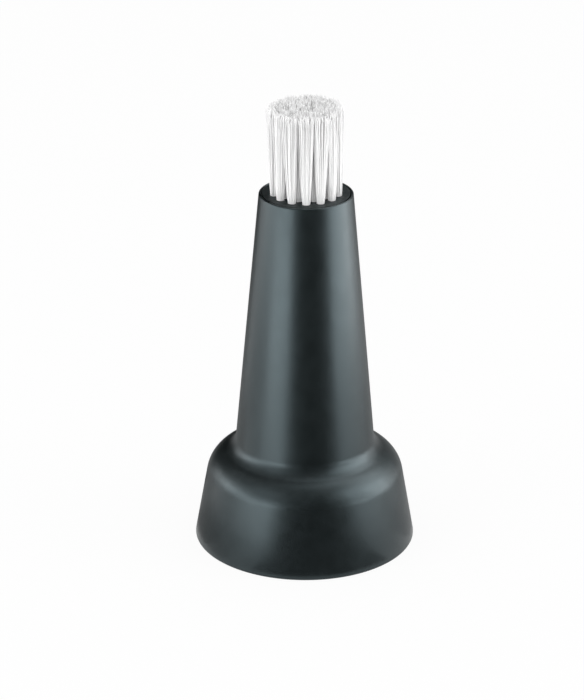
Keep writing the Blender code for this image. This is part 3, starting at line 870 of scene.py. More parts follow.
@dataclass(frozen=True)
class NylonFilament:
    """White nylon: a tone per filament, roots painted lighter as fill light, painted shade under
    the tips and painted highlight tips.
    """

    name: str
    colour: Colour = (0.97, 0.97, 0.97)
    shade: Colour = (0.94, 0.94, 0.94)
    # Painted fill light: the roots are lighter so that the shade between the tufts is lifted.
    root: Colour = (0.99, 0.99, 0.99)
    # Painted shade: a greyer band under the tips, where the tufts shade each other.
    painted_shade: Colour = (0.90, 0.90, 0.90)
    # Painted highlight: the cut ends are lighter than the shaded band under them.
    tip: Colour = (0.95, 0.95, 0.95)
    root_level: float = 0.0990
    root_reach: float = 0.0180
    painted_shade_level: float = 0.1175
    painted_shade_reach: float = 0.0030
    painted_shade_share: float = 0.9
    tip_highlight_level: float = 0.1212
    tip_highlight_reach: float = 0.0012
    roughness: float = 0.55
    roughness_spread: float = 0.06
    ior: float = 1.53
    sheen: float = 0.05
    grain_scale: float = 9000.0
    patch_scale: float = 700.0
    grain_strength: float = 0.15
    grain_depth: float = 0.00002

    def material(self, effects: Effects) -> Material:
        """Build the material.

        Args:
            effects: The shared effects.

        Returns:
            The material.
        """
        material, sheet, shader, vector = new_material(self.name)
        tone = sheet.add("ShaderNodeAttribute", attribute_name=BristleField.TONE).outputs["Fac"]
        grain = effects.grain.placed(sheet, vector, Scale=self.grain_scale,
                                     Mottle_Scale=self.patch_scale)
        height = sheet.height_of(vector)
        # Painted fill light: this mask lightens each filament towards its root.
        low = sheet.ramped(height, self.root_level, self.root_level + self.root_reach,
                           to_low=1.0, to_high=0.0)
        # Painted shade: greyer just below the tips, standing in for the shade between the tufts.
        painted_shade_mask = sheet.ramped(height, self.painted_shade_level, self.painted_shade_level + self.painted_shade_reach,
                              to_high=self.painted_shade_share)
        # Painted highlight: lightens the last stretch of each filament at its cut end.
        tip_highlight_mask = sheet.ramped(height, self.tip_highlight_level, self.tip_highlight_level + self.tip_highlight_reach)
        stem = sheet.mixed(low, sheet.mixed(tone, self.colour, self.shade), self.root)
        stem = sheet.mixed(painted_shade_mask, stem, self.painted_shade)
        rough = sheet.ramped(grain["Mottle"], low=0.3, high=0.7,
                             to_low=self.roughness - self.roughness_spread,
                             to_high=self.roughness + self.roughness_spread)
        sheet.dress(shader, {
            "Base Color": sheet.mixed(tip_highlight_mask, stem, self.tip),
            "Roughness": rough,
            "IOR": self.ior,
            "Sheen Weight": self.sheen,
            "Normal": sheet.bumped(grain["Height"], self.grain_strength, self.grain_depth),
        })
        return material


# Pieces

@dataclass
class Sizes:
    """The sizes that several pieces share, as in the solids."""

    fit_gap: float = 0.0003
    body_height: float = 0.0992
    tip_radius: float = 0.0125
    cone_draft: float = math.radians(5.1)
    wall: float = 0.0020
    lip_width: float = 0.0005
    mouth_chamfer: float = 0.0014
    block_thickness: float = 0.0065
    hub_radius: float = 0.0065
    hub_length: float = 0.0036
    flange_thickness: float = 0.0012
    washer_thickness: float = 0.0007
    washer_setback: float = 0.0002
    seal_width: float = 0.0015
    bush_length: float = 0.0090
    bush_wall: float = 0.0017
    rear_flange_radius: float = 0.0075
    spindle_radius: float = 0.0040
    spindle_pocket: float = 0.0005
    plate_level: float = 0.0200
    plate_thickness: float = 0.0030
    socket_radius: float = 0.0075
    socket_length: float = 0.0140
    socket_grip: float = 0.0052
    pin_radius: float = 0.0010
    pin_inset: float = 0.0003
    screw_head_radius: float = 0.0026
    screw_head_height: float = 0.0013
    screw_shank_radius: float = 0.00125
    screw_shank_length: float = 0.0100
    screw_boss_radius: float = 0.0032
    screw_boss_length: float = 0.0120
    screw_boss_sink: float = 0.0010
    screw_count: int = 3

    def __post_init__(self) -> None:
        """Work out the sizes that follow from the others."""
        stack = 3.0 * self.fit_gap + self.flange_thickness + self.washer_thickness
        self.bore_radius = self.spindle_radius + self.fit_gap
        self.bush_radius = self.bore_radius + self.bush_wall
        self.seat_radius = self.bush_radius + self.fit_gap
        self.mouth_radius = self.tip_radius - self.lip_width
        self.throat_radius = self.mouth_radius - self.mouth_chamfer
        self.block_radius = self.throat_radius - self.fit_gap
        self.throat_level = self.body_height - self.mouth_chamfer
        self.block_underside = self.body_height - self.block_thickness
        self.hub_end = self.block_underside - self.hub_length
        self.web_top = self.hub_end - stack
        self.pocket_end = self.block_underside + self.spindle_pocket
        self.plate_top = self.plate_level + self.plate_thickness
        self.boss_end = self.plate_top + self.fit_gap
        self.boss_top = self.boss_end + self.screw_boss_length
        self.socket_top = self.plate_level - stack
        self.socket_end = self.socket_top - self.socket_length
        self.spindle_top = self.pocket_end - self.fit_gap
        self.spindle_end = self.socket_top - self.socket_grip + self.fit_gap
        self.block_pin_level = (self.block_underside + self.hub_end) / 2.0
        self.socket_pin_level = self.socket_top - self.socket_grip / 2.0
        self.screw_seat = self.plate_level + self.screw_head_height + self.fit_gap
        self.screw_tip = self.screw_seat + self.screw_shank_length
        self.screw_hole_radius = self.screw_shank_radius + self.fit_gap
        pitch = self.inner_cone(self.boss_top)[0] + self.screw_boss_sink - self.screw_boss_radius
        self.screw_places = around(self.screw_count, pitch)
        upper = [self.inner_cone(self.web_top), (self.throat_radius, self.throat_level)]
        self.seal_radius = radius_at(upper, self.block_underside - self.fit_gap) - self.fit_gap
        self.front_flange_radius = self.seal_radius - self.seal_width - self.fit_gap

    def cone_radius(self, level: float) -> float:
        """Outer radius of the housing's cone at a height."""
        return self.tip_radius + (self.body_height - level) * math.tan(self.cone_draft)

    def inner_cone(self, level: float) -> Point:
        """Point of the housing's inner wall on its cone."""
        return self.cone_radius(level) - self.wall / math.cos(self.cone_draft), level

    def cross_drilled(self, item: Piece, radius: float, level: float) -> Piece:
        """Drill the clearance hole of a cross pin through a round piece.

        Args:
            item: The piece.
            radius: Its radius there.
            level: The pin's height.

        Returns:
            The same piece.
        """
        hole_radius = self.pin_radius + self.fit_gap
        return cut(item, cross_cylinder(hole_radius, 2.0 * radius, level, PIN_HOLE_STEPS))


@dataclass
class NoseHousing:
    """The grey moulding: skirt, shoulder, neck, cone, inner web, screw bosses and lugs."""

    sizes: Sizes
    base_radius: float = 0.0300
    skirt_height: float = 0.0188
    skirt_draft: float = math.radians(10.0)
    shoulder_radius: float = 0.0084
    neck_fillet: float = 0.0050
    lip_round: float = 0.00036
    foot_round: float = 0.00062
    inner_round: float = 0.0002
    web_thickness: float = 0.0025
    bush_boss_wall: float = 0.0020
    bush_boss_length: float = 0.0095
    lug_count: int = 3
    lug_level: float = 0.0070
    lug_height: float = 0.0030
    lug_width: float = 0.0110
    lug_depth: float = 0.0016
    lug_ramp: float = 0.0009
    lug_round: float = 0.0003
    steps: int = 192
    arc_steps: int = 18
    boss_steps: int = 32

    def shoulder_centre(self) -> Point:
        """Middle of the shoulder's arc, which runs on from the skirt's slope."""
        end_radius = self.base_radius - self.skirt_height * math.tan(self.skirt_draft)
        return (end_radius - self.shoulder_radius * math.cos(self.skirt_draft),
                self.skirt_height - self.shoulder_radius * math.sin(self.skirt_draft))

    def neck_centre(self) -> Point:
        """Find the middle of the neck's hollow arc, which touches the shoulder and the cone.

        Returns:
            Its radius and height.
        """
        middle = self.shoulder_centre()
        slope = math.tan(self.sizes.cone_draft)
        distance = self.shoulder_radius + self.neck_fillet
        away = self.neck_fillet / math.cos(self.sizes.cone_draft)
        across = self.sizes.cone_radius(0.0) + away - middle[0]
        square = 1.0 + slope ** 2
        linear = slope * across + middle[1]
        rest = square * (across ** 2 + middle[1] ** 2 - distance ** 2)
        level = (linear + math.sqrt(linear ** 2 - rest)) / square
        return middle[0] + across - slope * level, level

    def wall_outline(self, inset: float) -> list[Point]:
        """Points up the wall from foot to neck.

        Args:
            inset: Depth under the outer surface.

        Returns:
            The points, the lowest first.
        """
        shoulder = self.shoulder_centre()
        neck = self.neck_centre()
        meeting = math.atan2(neck[1] - shoulder[1], neck[0] - shoulder[0])
        foot = (self.base_radius - inset / math.cos(self.skirt_draft), 0.0)
        outward = arc(shoulder, self.shoulder_radius - inset, self.skirt_draft, meeting,
                      self.arc_steps)
        hollow = arc(neck, self.neck_fillet + inset, math.pi + meeting,
                     math.pi + self.sizes.cone_draft, self.arc_steps)
        return [foot, *outward, *hollow[1:]]

    def shell(self) -> Form:
        """Turn the whole section and round its lip and foot.

        Returns:
            The shell.
        """
        sizes = self.sizes
        boss_radius = sizes.seat_radius + self.bush_boss_wall
        boss_end = sizes.web_top - self.bush_boss_length
        web_underside = sizes.web_top - self.web_thickness
        lip = (sizes.tip_radius, sizes.body_height)
        throat = (sizes.throat_radius, sizes.throat_level)
        outside = self.wall_outline(0.0)[::-1]
        inside = self.wall_outline(sizes.wall)
        section = [(sizes.mouth_radius, sizes.body_height), lip, *outside, *inside,
                   sizes.inner_cone(web_underside), (boss_radius, web_underside),
                   (boss_radius, boss_end), (sizes.seat_radius, boss_end),
                   (sizes.seat_radius, sizes.web_top), sizes.inner_cone(sizes.web_top), throat]
        form = turned(section, self.steps)
        softened(form, [outside[-1]], self.foot_round, 4)
        softened(form, [inside[0]], self.foot_round / 3.0, 2)
        softened(form, [lip], self.lip_round, 4)
        return softened(form, [(boss_radius, boss_end), throat], self.inner_round, 2)

    def lugs(self) -> Form:
        """Make the bayonet lugs inside the skirt, each with a ramp and rounded edges.

        Returns:
            The lugs.
        """
        levels = (self.lug_level, self.lug_level + self.lug_height)
        wall_radius = radius_at(self.wall_outline(self.sizes.wall), levels[1])
        reach = (wall_radius - self.lug_depth, wall_radius + self.sizes.wall / 2.0)
        form = wedges(self.lug_count, self.lug_width, reach, levels, Slope.INNER_LOWER,
                      self.lug_ramp)
        return rounded(form, form.edges, self.lug_round, 3)

    def screw_boss(self) -> Form:
        """Turn one screw boss on the axis, with its pilot hole.

        Returns:
            The boss.
        """
        sizes = self.sizes
        hole = sizes.screw_hole_radius
        floor = sizes.screw_tip + sizes.fit_gap
        section = [(0.0, sizes.boss_top), (sizes.screw_boss_radius, sizes.boss_top),
                   (sizes.screw_boss_radius, sizes.boss_end), (hole, sizes.boss_end),
                   (hole, floor), (0.0, floor)]
        return turned(section, self.boss_steps, closed=False)

    def build(self, plastic: Material) -> None:
        """Make the housing and hand it over.

        Args:
            plastic: Its finish.
        """
        form = self.shell()
        joined(form, self.lugs())
        for x, y, _ in self.sizes.screw_places:
            joined(form, self.screw_boss(), Matrix.Translation((x, y, 0.0)))
        shell = as_object("housing_shell", form)
        finished(shell, plastic, Body.HOUSING, "nose_housing")


def flanged_bush(sizes: Sizes, flange: float, level: float, direction: float) -> Form:
    """Turn a flanged bush.

    Args:
        sizes: The shared sizes.
        flange: Radius of its flange.
        level: Height of the flange's seat.
        direction: 1 if its sleeve runs up from there, or -1 if it runs down.

    Returns:
        The bush.
    """
    far = level - direction * sizes.flange_thickness
    end = level + direction * sizes.bush_length
    inner, outer = sizes.bore_radius, sizes.bush_radius
    section = [(flange, far), (flange, level), (outer, level), (outer, end), (inner, end),
               (inner, far)]
    form = turned(section, RING_STEPS)
    softened(form, [(flange, far), (outer, end)], BUSH_ROUND, 3)
    return softened(form, [(inner, end), (inner, far), (flange, level)], BUSH_EDGE, 2)


def thrust_washer(sizes: Sizes, flange: float, level: float) -> Form:
    """Turn a thrust washer.

    Args:
        sizes: The shared sizes.
        flange: Radius of the flange that it bears on.
        level: Height of its lower face.

    Returns:
        The washer.
    """
    radius = flange - sizes.washer_setback
    top = level + sizes.washer_thickness
    corners = [(sizes.bore_radius, top), (radius, top), (radius, level), (sizes.bore_radius, level)]
    return softened(turned(corners, RING_STEPS), corners, WASHER_EDGE, 2)


@dataclass
class RearBearing:
    """What closes the cone from below: the plate, its screws, the rear bush and its washer."""

    sizes: Sizes
    rim_radius: float
    hub_wall: float = 0.0017
    hub_length: float = 0.0100
    land_width: float = 0.0035
    recess: float = 0.0004
    edge_round: float = 0.0003
    rib_count: int = 6
    rib_width: float = 0.0014
    rib_setback: float = 0.0020
    rib_round: float = 0.0002
    slot_width: float = 0.0007
    slot_depth: float = 0.0006
    head_crown: float = 0.00045
    head_dome: tuple[Point, ...] = ((1.0, 1.0), (0.86, 0.3), (0.55, 0.0))
    head_round: float = 0.00012
    point_share: float = 0.3
    steps: int = 144
    hole_steps: int = 32
    screw_steps: int = 48

    def plate(self) -> Form:
        """Make the plate: two pierced faces, the walls between them and the ribs round its hub.

        Returns:
            The plate.
        """
        sizes = self.sizes
        form = bmesh.new()
        bottom, top = sizes.plate_level, sizes.plate_top
        seat, rim = sizes.seat_radius, self.rim_radius
        hub = seat + self.hub_wall
        hub_top = bottom + self.hub_length
        land = rim - self.land_width
        recess = bottom + self.recess
        edge = self.edge_round
        half = edge / 2.0
        counterbore = sizes.screw_head_radius + sizes.fit_gap
        hole = sizes.screw_hole_radius
        places = [(x, y) for x, y, _ in sizes.screw_places]
        under = [Loop.drawn(form, counterbore + half, recess, self.hole_steps, place)
                 for place in places]
        over = [Loop.drawn(form, hole, top, self.hole_steps, place) for place in places]
        outer, inner, top_outer, top_inner = (
            Loop.drawn(form, radius, level, self.steps)
            for radius, level in ((land, recess), (hub, recess), (rim - edge, top), (hub, top)))
        pierced_face(form, [outer, inner, *under])
        pierced_face(form, [top_outer, top_inner, *over])
        for loop in under:
            loop.carried((counterbore, recess + half), (counterbore, sizes.screw_seat),
                         (hole, sizes.screw_seat), (hole, top))
        outer.carried((land, bottom + half), (land + half, bottom), (rim - edge, bottom),
                      (rim, bottom + edge), (rim, top - edge), (rim - edge, top))
        inner.carried((hub, bottom + half), (hub - half, bottom), (seat + half, bottom),
                      (seat, bottom + edge), (seat, hub_top), (hub - edge, hub_top),
                      (hub, hub_top - edge), (hub, top))
        settled(form)
        joined(form, self.ribs(hub, hub_top))
        return form

    def ribs(self, hub: float, hub_top: float) -> Form:
        """Make the gusset ribs that brace the hub.

        Args:
            hub: The hub's radius.
            hub_top: Height of its end.

        Returns:
            The ribs.
        """
        plate_top = self.sizes.plate_top
        reach = (hub - self.hub_wall / 2.0, self.rim_radius - self.rib_setback)
        levels = (plate_top - self.sizes.plate_thickness / 2.0, hub_top - self.rib_setback)
        toe = (plate_top + levels[0]) / 2.0
        form = wedges(self.rib_count, self.rib_width, reach, levels, Slope.OUTER_UPPER,
                      toe - levels[1])
        return rounded(form, form.edges, self.rib_round, 2)

    def screw(self, index: int, place: Place, steel: Material) -> None:
        """Make one pan head screw with a crowned, slotted head.

        Args:
            index: The screw's number.
            place: X, Y and the angle that its slot takes.
            steel: Its finish.
        """
        sizes = self.sizes
        tip, shank, head = sizes.screw_tip, sizes.screw_shank_radius, sizes.screw_head_radius
        seat = sizes.screw_seat - sizes.fit_gap
        end = seat - sizes.screw_head_height
        dome = [(head * across, end + self.head_crown * up) for across, up in self.head_dome]
        section = [(0.0, tip), (shank * self.point_share, tip), (shank, tip - shank),
                   (shank, seat), (head, seat), *dome, (0.0, end)]
        form = turned(section, self.screw_steps, closed=False)
        softened(form, [(head, seat), dome[0]], self.head_round, 2)
        item = as_object(f"slotted_screw_{index}", form)
        slot = bmesh.new()
        block(slot, (self.slot_width, 4.0 * head, 2.0 * self.slot_depth), (0.0, 0.0, end))
        cut(item, slot)
        item.data.transform(standing(place))
        finished(item, steel, Body.HOUSING, f"plate_screw_{index}")

    def build(self, plastic: Material, bronze: Material, steel: Material) -> None:
        """Make the plate, its screws, the bush and the washer.

        Args:
            plastic: The plate's finish.
            bronze: The bush's finish.
            steel: The finish of the screws and the washer.
        """
        sizes = self.sizes
        plate = as_object("bearing_plate", self.plate())
        finished(plate, plastic, Body.HOUSING, "rear_bearing_plate")
        for index, place in enumerate(sizes.screw_places, start=1):
            self.screw(index, place, steel)
        flange = sizes.rear_flange_radius
        bush = flanged_bush(sizes, flange, sizes.plate_level - sizes.fit_gap, 1.0)
        bush_piece = as_object("rear_bearing_bush", bush)
        finished(bush_piece, bronze, Body.HOUSING, "rear_bush")
        washer = as_object("rear_washer",
                           thrust_washer(sizes, flange, sizes.socket_top + sizes.fit_gap))
        finished(washer, steel, Body.SPINDLE, "rear_thrust_washer")


@dataclass
class FrontBearing:
    """What sits under the tuft block: the front bush, its washer and the seal ring."""

    sizes: Sizes
    seal_lip: float = 0.0006
    seal_round: float = 0.00018

    def seal(self) -> Form:
        """Turn the seal ring, thinner towards its lip.

        Returns:
            The ring.
        """
        sizes = self.sizes
        bottom = sizes.web_top + sizes.fit_gap
        top = sizes.block_underside - sizes.fit_gap
        outer = sizes.seal_radius
        inner = outer - sizes.seal_width
        shoulder = (bottom + top) / 2.0
        lip = (outer + inner - self.seal_lip) / 2.0
        section = [(lip, top), (lip + self.seal_lip, top), (outer, shoulder), (outer, bottom),
                   (inner, bottom), (inner, shoulder)]
        return softened(turned(section, RING_STEPS), section, self.seal_round, 3)

    def build(self, bronze: Material, steel: Material, rubber: Material) -> None:
        """Make the three rings.

        Args:
            bronze: The bush's finish.
            steel: The washer's finish.
            rubber: The seal's finish.
        """
        sizes = self.sizes
        flange = sizes.front_flange_radius
        seat = sizes.web_top + sizes.fit_gap
        bush = as_object("front_bearing_bush", flanged_bush(sizes, flange, seat, -1.0))
        finished(bush, bronze, Body.HOUSING, "front_bush")
        level = seat + sizes.flange_thickness + sizes.fit_gap
        washer = as_object("front_washer", thrust_washer(sizes, flange, level))
        finished(washer, steel, Body.SPINDLE, "front_thrust_washer")
        seal = as_object("lip_seal", self.seal())
        finished(seal, rubber, Body.HOUSING, "seal_ring")


@dataclass
class DriveLine:
    """The turning steel: spindle, drive socket and the two cross pins."""

    sizes: Sizes
    relief: float = 0.0005
    chamfer: float = 0.0005
    journal_margin: float = 0.0015
    socket_chamfer: float = 0.0006
    hexagon_across_flats: float = 0.0080
    hexagon_depth: float = 0.0075
    hexagon_cuts: int = 7
    lead_in: float = 0.0006
    pin_chamfer: float = 0.0002
    pin_steps: int = 32
    steps: int = 64

    def spindle(self) -> Piece:
        """Make the shaft: two journals, a relieved middle and a cross hole at each end.

        Returns:
            The shaft.
        """
        sizes = self.sizes
        full = sizes.spindle_radius
        slim = full - self.relief
        top, end = sizes.spindle_top, sizes.spindle_end
        lower = sizes.plate_level + sizes.bush_length + self.journal_margin
        upper = sizes.web_top - sizes.bush_length - self.journal_margin
        section = [(0.0, top), (full, top), (full, upper), (slim, upper - self.relief),
                   (slim, lower + self.relief), (full, lower), (full, end), (0.0, end)]
        form = turned(section, self.steps, closed=False)
        item = as_object("spindle_shaft",
                         softened(form, [(full, top), (full, end)], self.chamfer, 2))
        for level in (sizes.block_pin_level, sizes.socket_pin_level):
            sizes.cross_drilled(item, full, level)
        return item

    def socket(self) -> Piece:
        """Make the coupling: a hexagon hole below, a bore above and a cross hole.

        Returns:
            The coupling.
        """
        sizes = self.sizes
        form = bmesh.new()
        radius, bore = sizes.socket_radius, sizes.bore_radius
        top, end = sizes.socket_top, sizes.socket_end
        chamfer = self.socket_chamfer
        corner = self.hexagon_across_flats / 2.0 / math.cos(math.pi / 6.0)
        hexagon = Loop.drawn(form, corner, end + self.lead_in, 6)
        bmesh.ops.subdivide_edges(form, edges=hexagon.edges, cuts=self.hexagon_cuts)
        hexagon.edges = edges_of(form.verts)
        rim = Loop.drawn(form, corner + self.lead_in, end, len(hexagon.edges))
        bmesh.ops.bridge_loops(form, edges=hexagon.edges + rim.edges)
        hexagon.carried((corner, end + self.hexagon_depth)).close()
        floor = rim.carried((radius - chamfer, end), (radius, end + chamfer),
                            (radius, top - chamfer), (radius - chamfer, top),
                            (bore + self.pin_chamfer, top), (bore, top - self.pin_chamfer),
                            (bore, top - sizes.socket_grip))
        floor.close()
        item = as_object("hexagon_socket", settled(form))
        return sizes.cross_drilled(item, radius, sizes.socket_pin_level)

    def pin(self, name: str, carrier_radius: float, level: float) -> Piece:
        """Make a cross pin with chamfered ends.

        Args:
            name: The pin's name.
            carrier_radius: Radius of the round piece that it crosses.
            level: Its height.

        Returns:
            The pin.
        """
        half_length = carrier_radius - self.sizes.pin_inset
        form = cross_cylinder(self.sizes.pin_radius, half_length, level, self.pin_steps)
        ends = [edge for edge in form.edges
                if len({round(vert.co.x, 6) for vert in edge.verts}) == 1]
        return as_object(name, rounded(form, ends, self.pin_chamfer, 2))

    def build(self, steel: Material, hardened: Material) -> None:
        """Make the spindle, the socket and the pins.

        Args:
            steel: The finish of the spindle and the pins.
            hardened: The socket's finish.
        """
        sizes = self.sizes
        block_pin = ("tuft_block_pin", sizes.hub_radius, sizes.block_pin_level)
        socket_pin = ("drive_pin", sizes.socket_radius, sizes.socket_pin_level)
        finished(self.spindle(), steel, Body.SPINDLE, "drive_spindle")
        finished(self.socket(), hardened, Body.SPINDLE, "drive_socket")
        finished(self.pin(*block_pin), steel, Body.SPINDLE, "block_pin")
        finished(self.pin(*socket_pin), steel, Body.SPINDLE, "socket_pin")


@dataclass
class BristleField:
    """The round plate that holds the tufts, and its 31 tufts of nylon filament."""

    TONE = "filament_tone"

    sizes: Sizes
    edge_round: float = 0.0002
    hole_depth: float = 0.0045
    hole_radius: float = 0.00105
    hole_round: float = 0.00014
    hole_round_shares: Point = (0.38, 0.08)
    hole_edge_wall: float = 0.0007
    tuft_pitch: float = 0.00384
    ring_radius_shares: tuple[float, ...] = (1.0, 0.737, 0.433, 0.0)
    ring_start_shares: tuple[float, ...] = (0.0, 0.5, 0.0, 0.0)
    bristle_length: float = 0.0242
    filaments: int = 80
    filament_radius: float = 0.000118
    filament_sides: int = 5
    filament_tip: float = 0.6
    root_reach: float = 0.00093
    radial_reach: float = 0.00112
    tangent_reach: float = 0.00205
    corner_fill: float = 0.12
    field_lean: float = 0.00035
    field_sway: float = -0.00022
    tuft_lean: float = 0.00026
    tip_wander: float = 0.00014
    bow: float = 0.00010
    splay: float = 0.75
    trim_unevenness: float = 0.0020
    tuft_unevenness: float = 0.0005
    crown: float = 0.0008
    crown_power: int = 6
    height_shares: tuple[float, ...] = (0.0, 0.16, 0.36, 0.58, 0.80, 0.985, 1.0)
    seed: int = 31
    steps: int = 144
    hole_steps: int = 24
    rings: list[list[Place]] = field(default_factory=list)

    def __post_init__(self) -> None:
        """Work out where the tufts stand."""
        outer = self.sizes.block_radius - self.hole_edge_wall - self.hole_radius
        for radius_share, start_share in zip(self.ring_radius_shares, self.ring_start_shares):
            radius = outer * radius_share
            count = max(1, round(2.0 * math.pi * radius / self.tuft_pitch))
            self.rings.append(around(count, radius, start_share * 2.0 * math.pi / count))

    def plate(self) -> Piece:
        """Make the tuft block: a pierced top face, rimmed blind holes, a bevelled rim and a hub.

        Returns:
            The tuft block.
        """
        sizes = self.sizes
        form = bmesh.new()
        top, underside, hub_end = sizes.body_height, sizes.block_underside, sizes.hub_end
        wide, hub = sizes.block_radius, sizes.hub_radius
        edge = sizes.mouth_radius - sizes.fit_gap
        soft = self.edge_round
        bevel = math.atan2(sizes.mouth_chamfer, edge - wide)
        holes = [Loop.drawn(form, self.hole_radius + self.hole_round, top, self.hole_steps, (x, y))
                 for ring in self.rings for x, y, _ in ring]
        outer = Loop.drawn(form, edge - soft, top, self.steps)
        pierced_face(form, [outer, *holes])
        rim = arc((edge - soft, top - soft), soft, math.pi / 2.0, math.pi / 2.0 - bevel, 3)
        outer.carried(*rim[1:], (wide, sizes.throat_level), (wide, underside), (hub, underside),
                      (hub, hub_end + soft), (hub - soft, hub_end), (sizes.bore_radius, hub_end),
                      (sizes.bore_radius, sizes.pocket_end)).close()
        soft = self.hole_round
        far, near = (soft * share for share in self.hole_round_shares)
        for hole in holes:
            hole.carried((self.hole_radius + far, top - near), (self.hole_radius + near, top - far),
                         (self.hole_radius, top - soft),
                         (self.hole_radius, top - self.hole_depth)).close()
        item = as_object("tuft_plate", settled(form))
        return sizes.cross_drilled(item, hub, sizes.block_pin_level)

    @staticmethod
    def wander(dice: random.Random, spread: float) -> Vector:
        """Draw a small step across."""
        return Vector((dice.gauss(0.0, spread), dice.gauss(0.0, spread), 0.0))

    def filament(self, index: int, reach: Point, sway: Vector, tuft_top: float,
                 dice: random.Random) -> list[Vector]:
        """Draw the middle line of one filament of a tuft that stands on the axis.

        Args:
            index: The filament's number.
            reach: How far the tuft's tips spread along the ring and across it.
            sway: How far they lean as one.
            tuft_top: Height of the tuft's highest tip.
            dice: Source of small differences.

        Returns:
            The points of the line, from the root in its hole to the tip.
        """
        root_level = self.sizes.body_height - self.hole_depth + self.sizes.fit_gap
        start = self.sizes.body_height - self.hole_radius
        share = math.sqrt((index + 0.5) / self.filaments)
        bearing = index * GOLDEN_ANGLE
        across = Vector((math.cos(bearing), math.sin(bearing), 0.0)) * share
        root = across * self.root_reach
        corner = 1.0 + self.corner_fill * (1.0 - math.cos(4.0 * bearing))
        tip = Vector((across.x * reach[0] * corner, across.y * reach[1] * corner, 0.0)) + sway
        tip += self.wander(dice, self.tip_wander)
        bow = self.wander(dice, self.bow)
        top = (tuft_top - self.crown * share ** self.crown_power -
               self.trim_unevenness * dice.random() ** 3)
        line = [root + Vector((0.0, 0.0, root_level))]
        for height in self.height_shares:
            middle = root + (tip - root) * height ** self.splay + bow * math.sin(math.pi * height)
            line.append(middle + Vector((0.0, 0.0, start + (top - start) * height)))
        return line

    def tuft(self, name: str, place: Place, reach: Point, lean: float,
             dice: random.Random) -> Piece:
        """Make one tuft: filaments packed in its hole that open towards their trimmed tips.

        Args:
            name: The tuft's name.
            place: X, Y and the angle that the tuft faces.
            reach: How far its tips spread along the ring and across it.
            lean: How far the whole tuft leans outwards at its tips.
            dice: Source of small differences.

        Returns:
            The tuft.
        """
        form = bmesh.new()
        tone = form.verts.layers.float.new(self.TONE)
        sway = Vector((dice.gauss(0.0, self.tuft_lean),
                       dice.gauss(0.0, self.tuft_lean / 2.0) - lean, 0.0))
        sway += Matrix.Rotation(-place[2], 3, "Z") @ Vector((self.field_sway, 0.0, 0.0))
        tuft_top = (self.sizes.body_height + self.bristle_length -
                    self.tuft_unevenness * dice.random() ** 2)
        faces, lines = [], []
        for index in range(self.filaments):
            line = self.filament(index, reach, sway, tuft_top, dice)
            turn = Matrix.Rotation(dice.uniform(0.0, math.pi), 4, "Z")
            verts = bmesh.ops.create_circle(form, cap_ends=True, segments=self.filament_sides,
                                            radius=self.filament_radius,
                                            matrix=Matrix.Translation(line[0]) @ turn)["verts"]
            shade = dice.random()
            for vert in verts:
                vert[tone] = shade
            faces.append(verts[0].link_faces[0])
            lines.append(line)
        for station in range(1, len(self.height_shares) + 1):
            faces = bmesh.ops.extrude_discrete_faces(form, faces=faces)["faces"]
            for face, line in zip(faces, lines):
                step = line[station] - line[station - 1]
                bmesh.ops.translate(form, verts=face.verts, vec=step)
        narrowing = (self.filament_tip, self.filament_tip, 1.0)
        for face, line in zip(faces, lines):
            middle = Matrix.Translation(-line[-1])
            bmesh.ops.scale(form, verts=face.verts, vec=narrowing, space=middle)
        bmesh.ops.holes_fill(form, edges=[edge for edge in form.edges if edge.is_boundary])
        bmesh.ops.recalc_face_normals(form, faces=form.faces[:])
        item = as_object(name, form)
        item.data.transform(standing(place))
        return item

    def build(self, plastic: Material, nylon: Material) -> None:
        """Make the plate and every tuft, the outer ring first and counted from the front.

        Args:
            plastic: The plate's finish.
            nylon: The tufts' finish.
        """
        finished(self.plate(), plastic, Body.SPINDLE, "tuft_block")
        dice = random.Random(self.seed)
        count = 0
        for ring in self.rings:
            lean = self.field_lean if ring is self.rings[0] else 0.0
            across = self.radial_reach if len(ring) > 1 else self.tangent_reach
            for place in ring:
                count += 1
                name = f"bristle_tuft_{count:02d}"
                item = self.tuft(name, place, (self.tangent_reach, across), lean, dice)
                finished(item, nylon, Body.SPINDLE, f"tuft_{count:02d}")


# Studio

@dataclass(frozen=True)
class SoftBox:
    """A large rectangular lamp that lights the object and its floor.

    Args:
        name: The lamp's name.
        azimuth: Its direction from the front, positive to the right.
        distance: How far it stands from the object.
        level: Height of its middle.
        size: Its width and height.
        power: Its power in watts.
    """

    name: str
    azimuth: float
    distance: float
    level: float
    size: Point
    power: float

    def build(self, target: Vector) -> None:
        """Hang the lamp so that it faces the object.

        Args:
            target: The point that it faces.
        """
        lamp = bpy.data.lights.new(self.name, "AREA")
        lamp.shape = "RECTANGLE"
        lamp.size, lamp.size_y = self.size
        lamp.energy = self.power
        item = in_scene(self.name, lamp)
        angle = math.radians(self.azimuth)
        item.location = (self.distance * math.sin(angle), -self.distance * math.cos(angle),
                         self.level)
        item.rotation_euler = (target - item.location).to_track_quat("-Z", "Y").to_euler()
        item.visible_camera = False
        item.visible_glossy = False


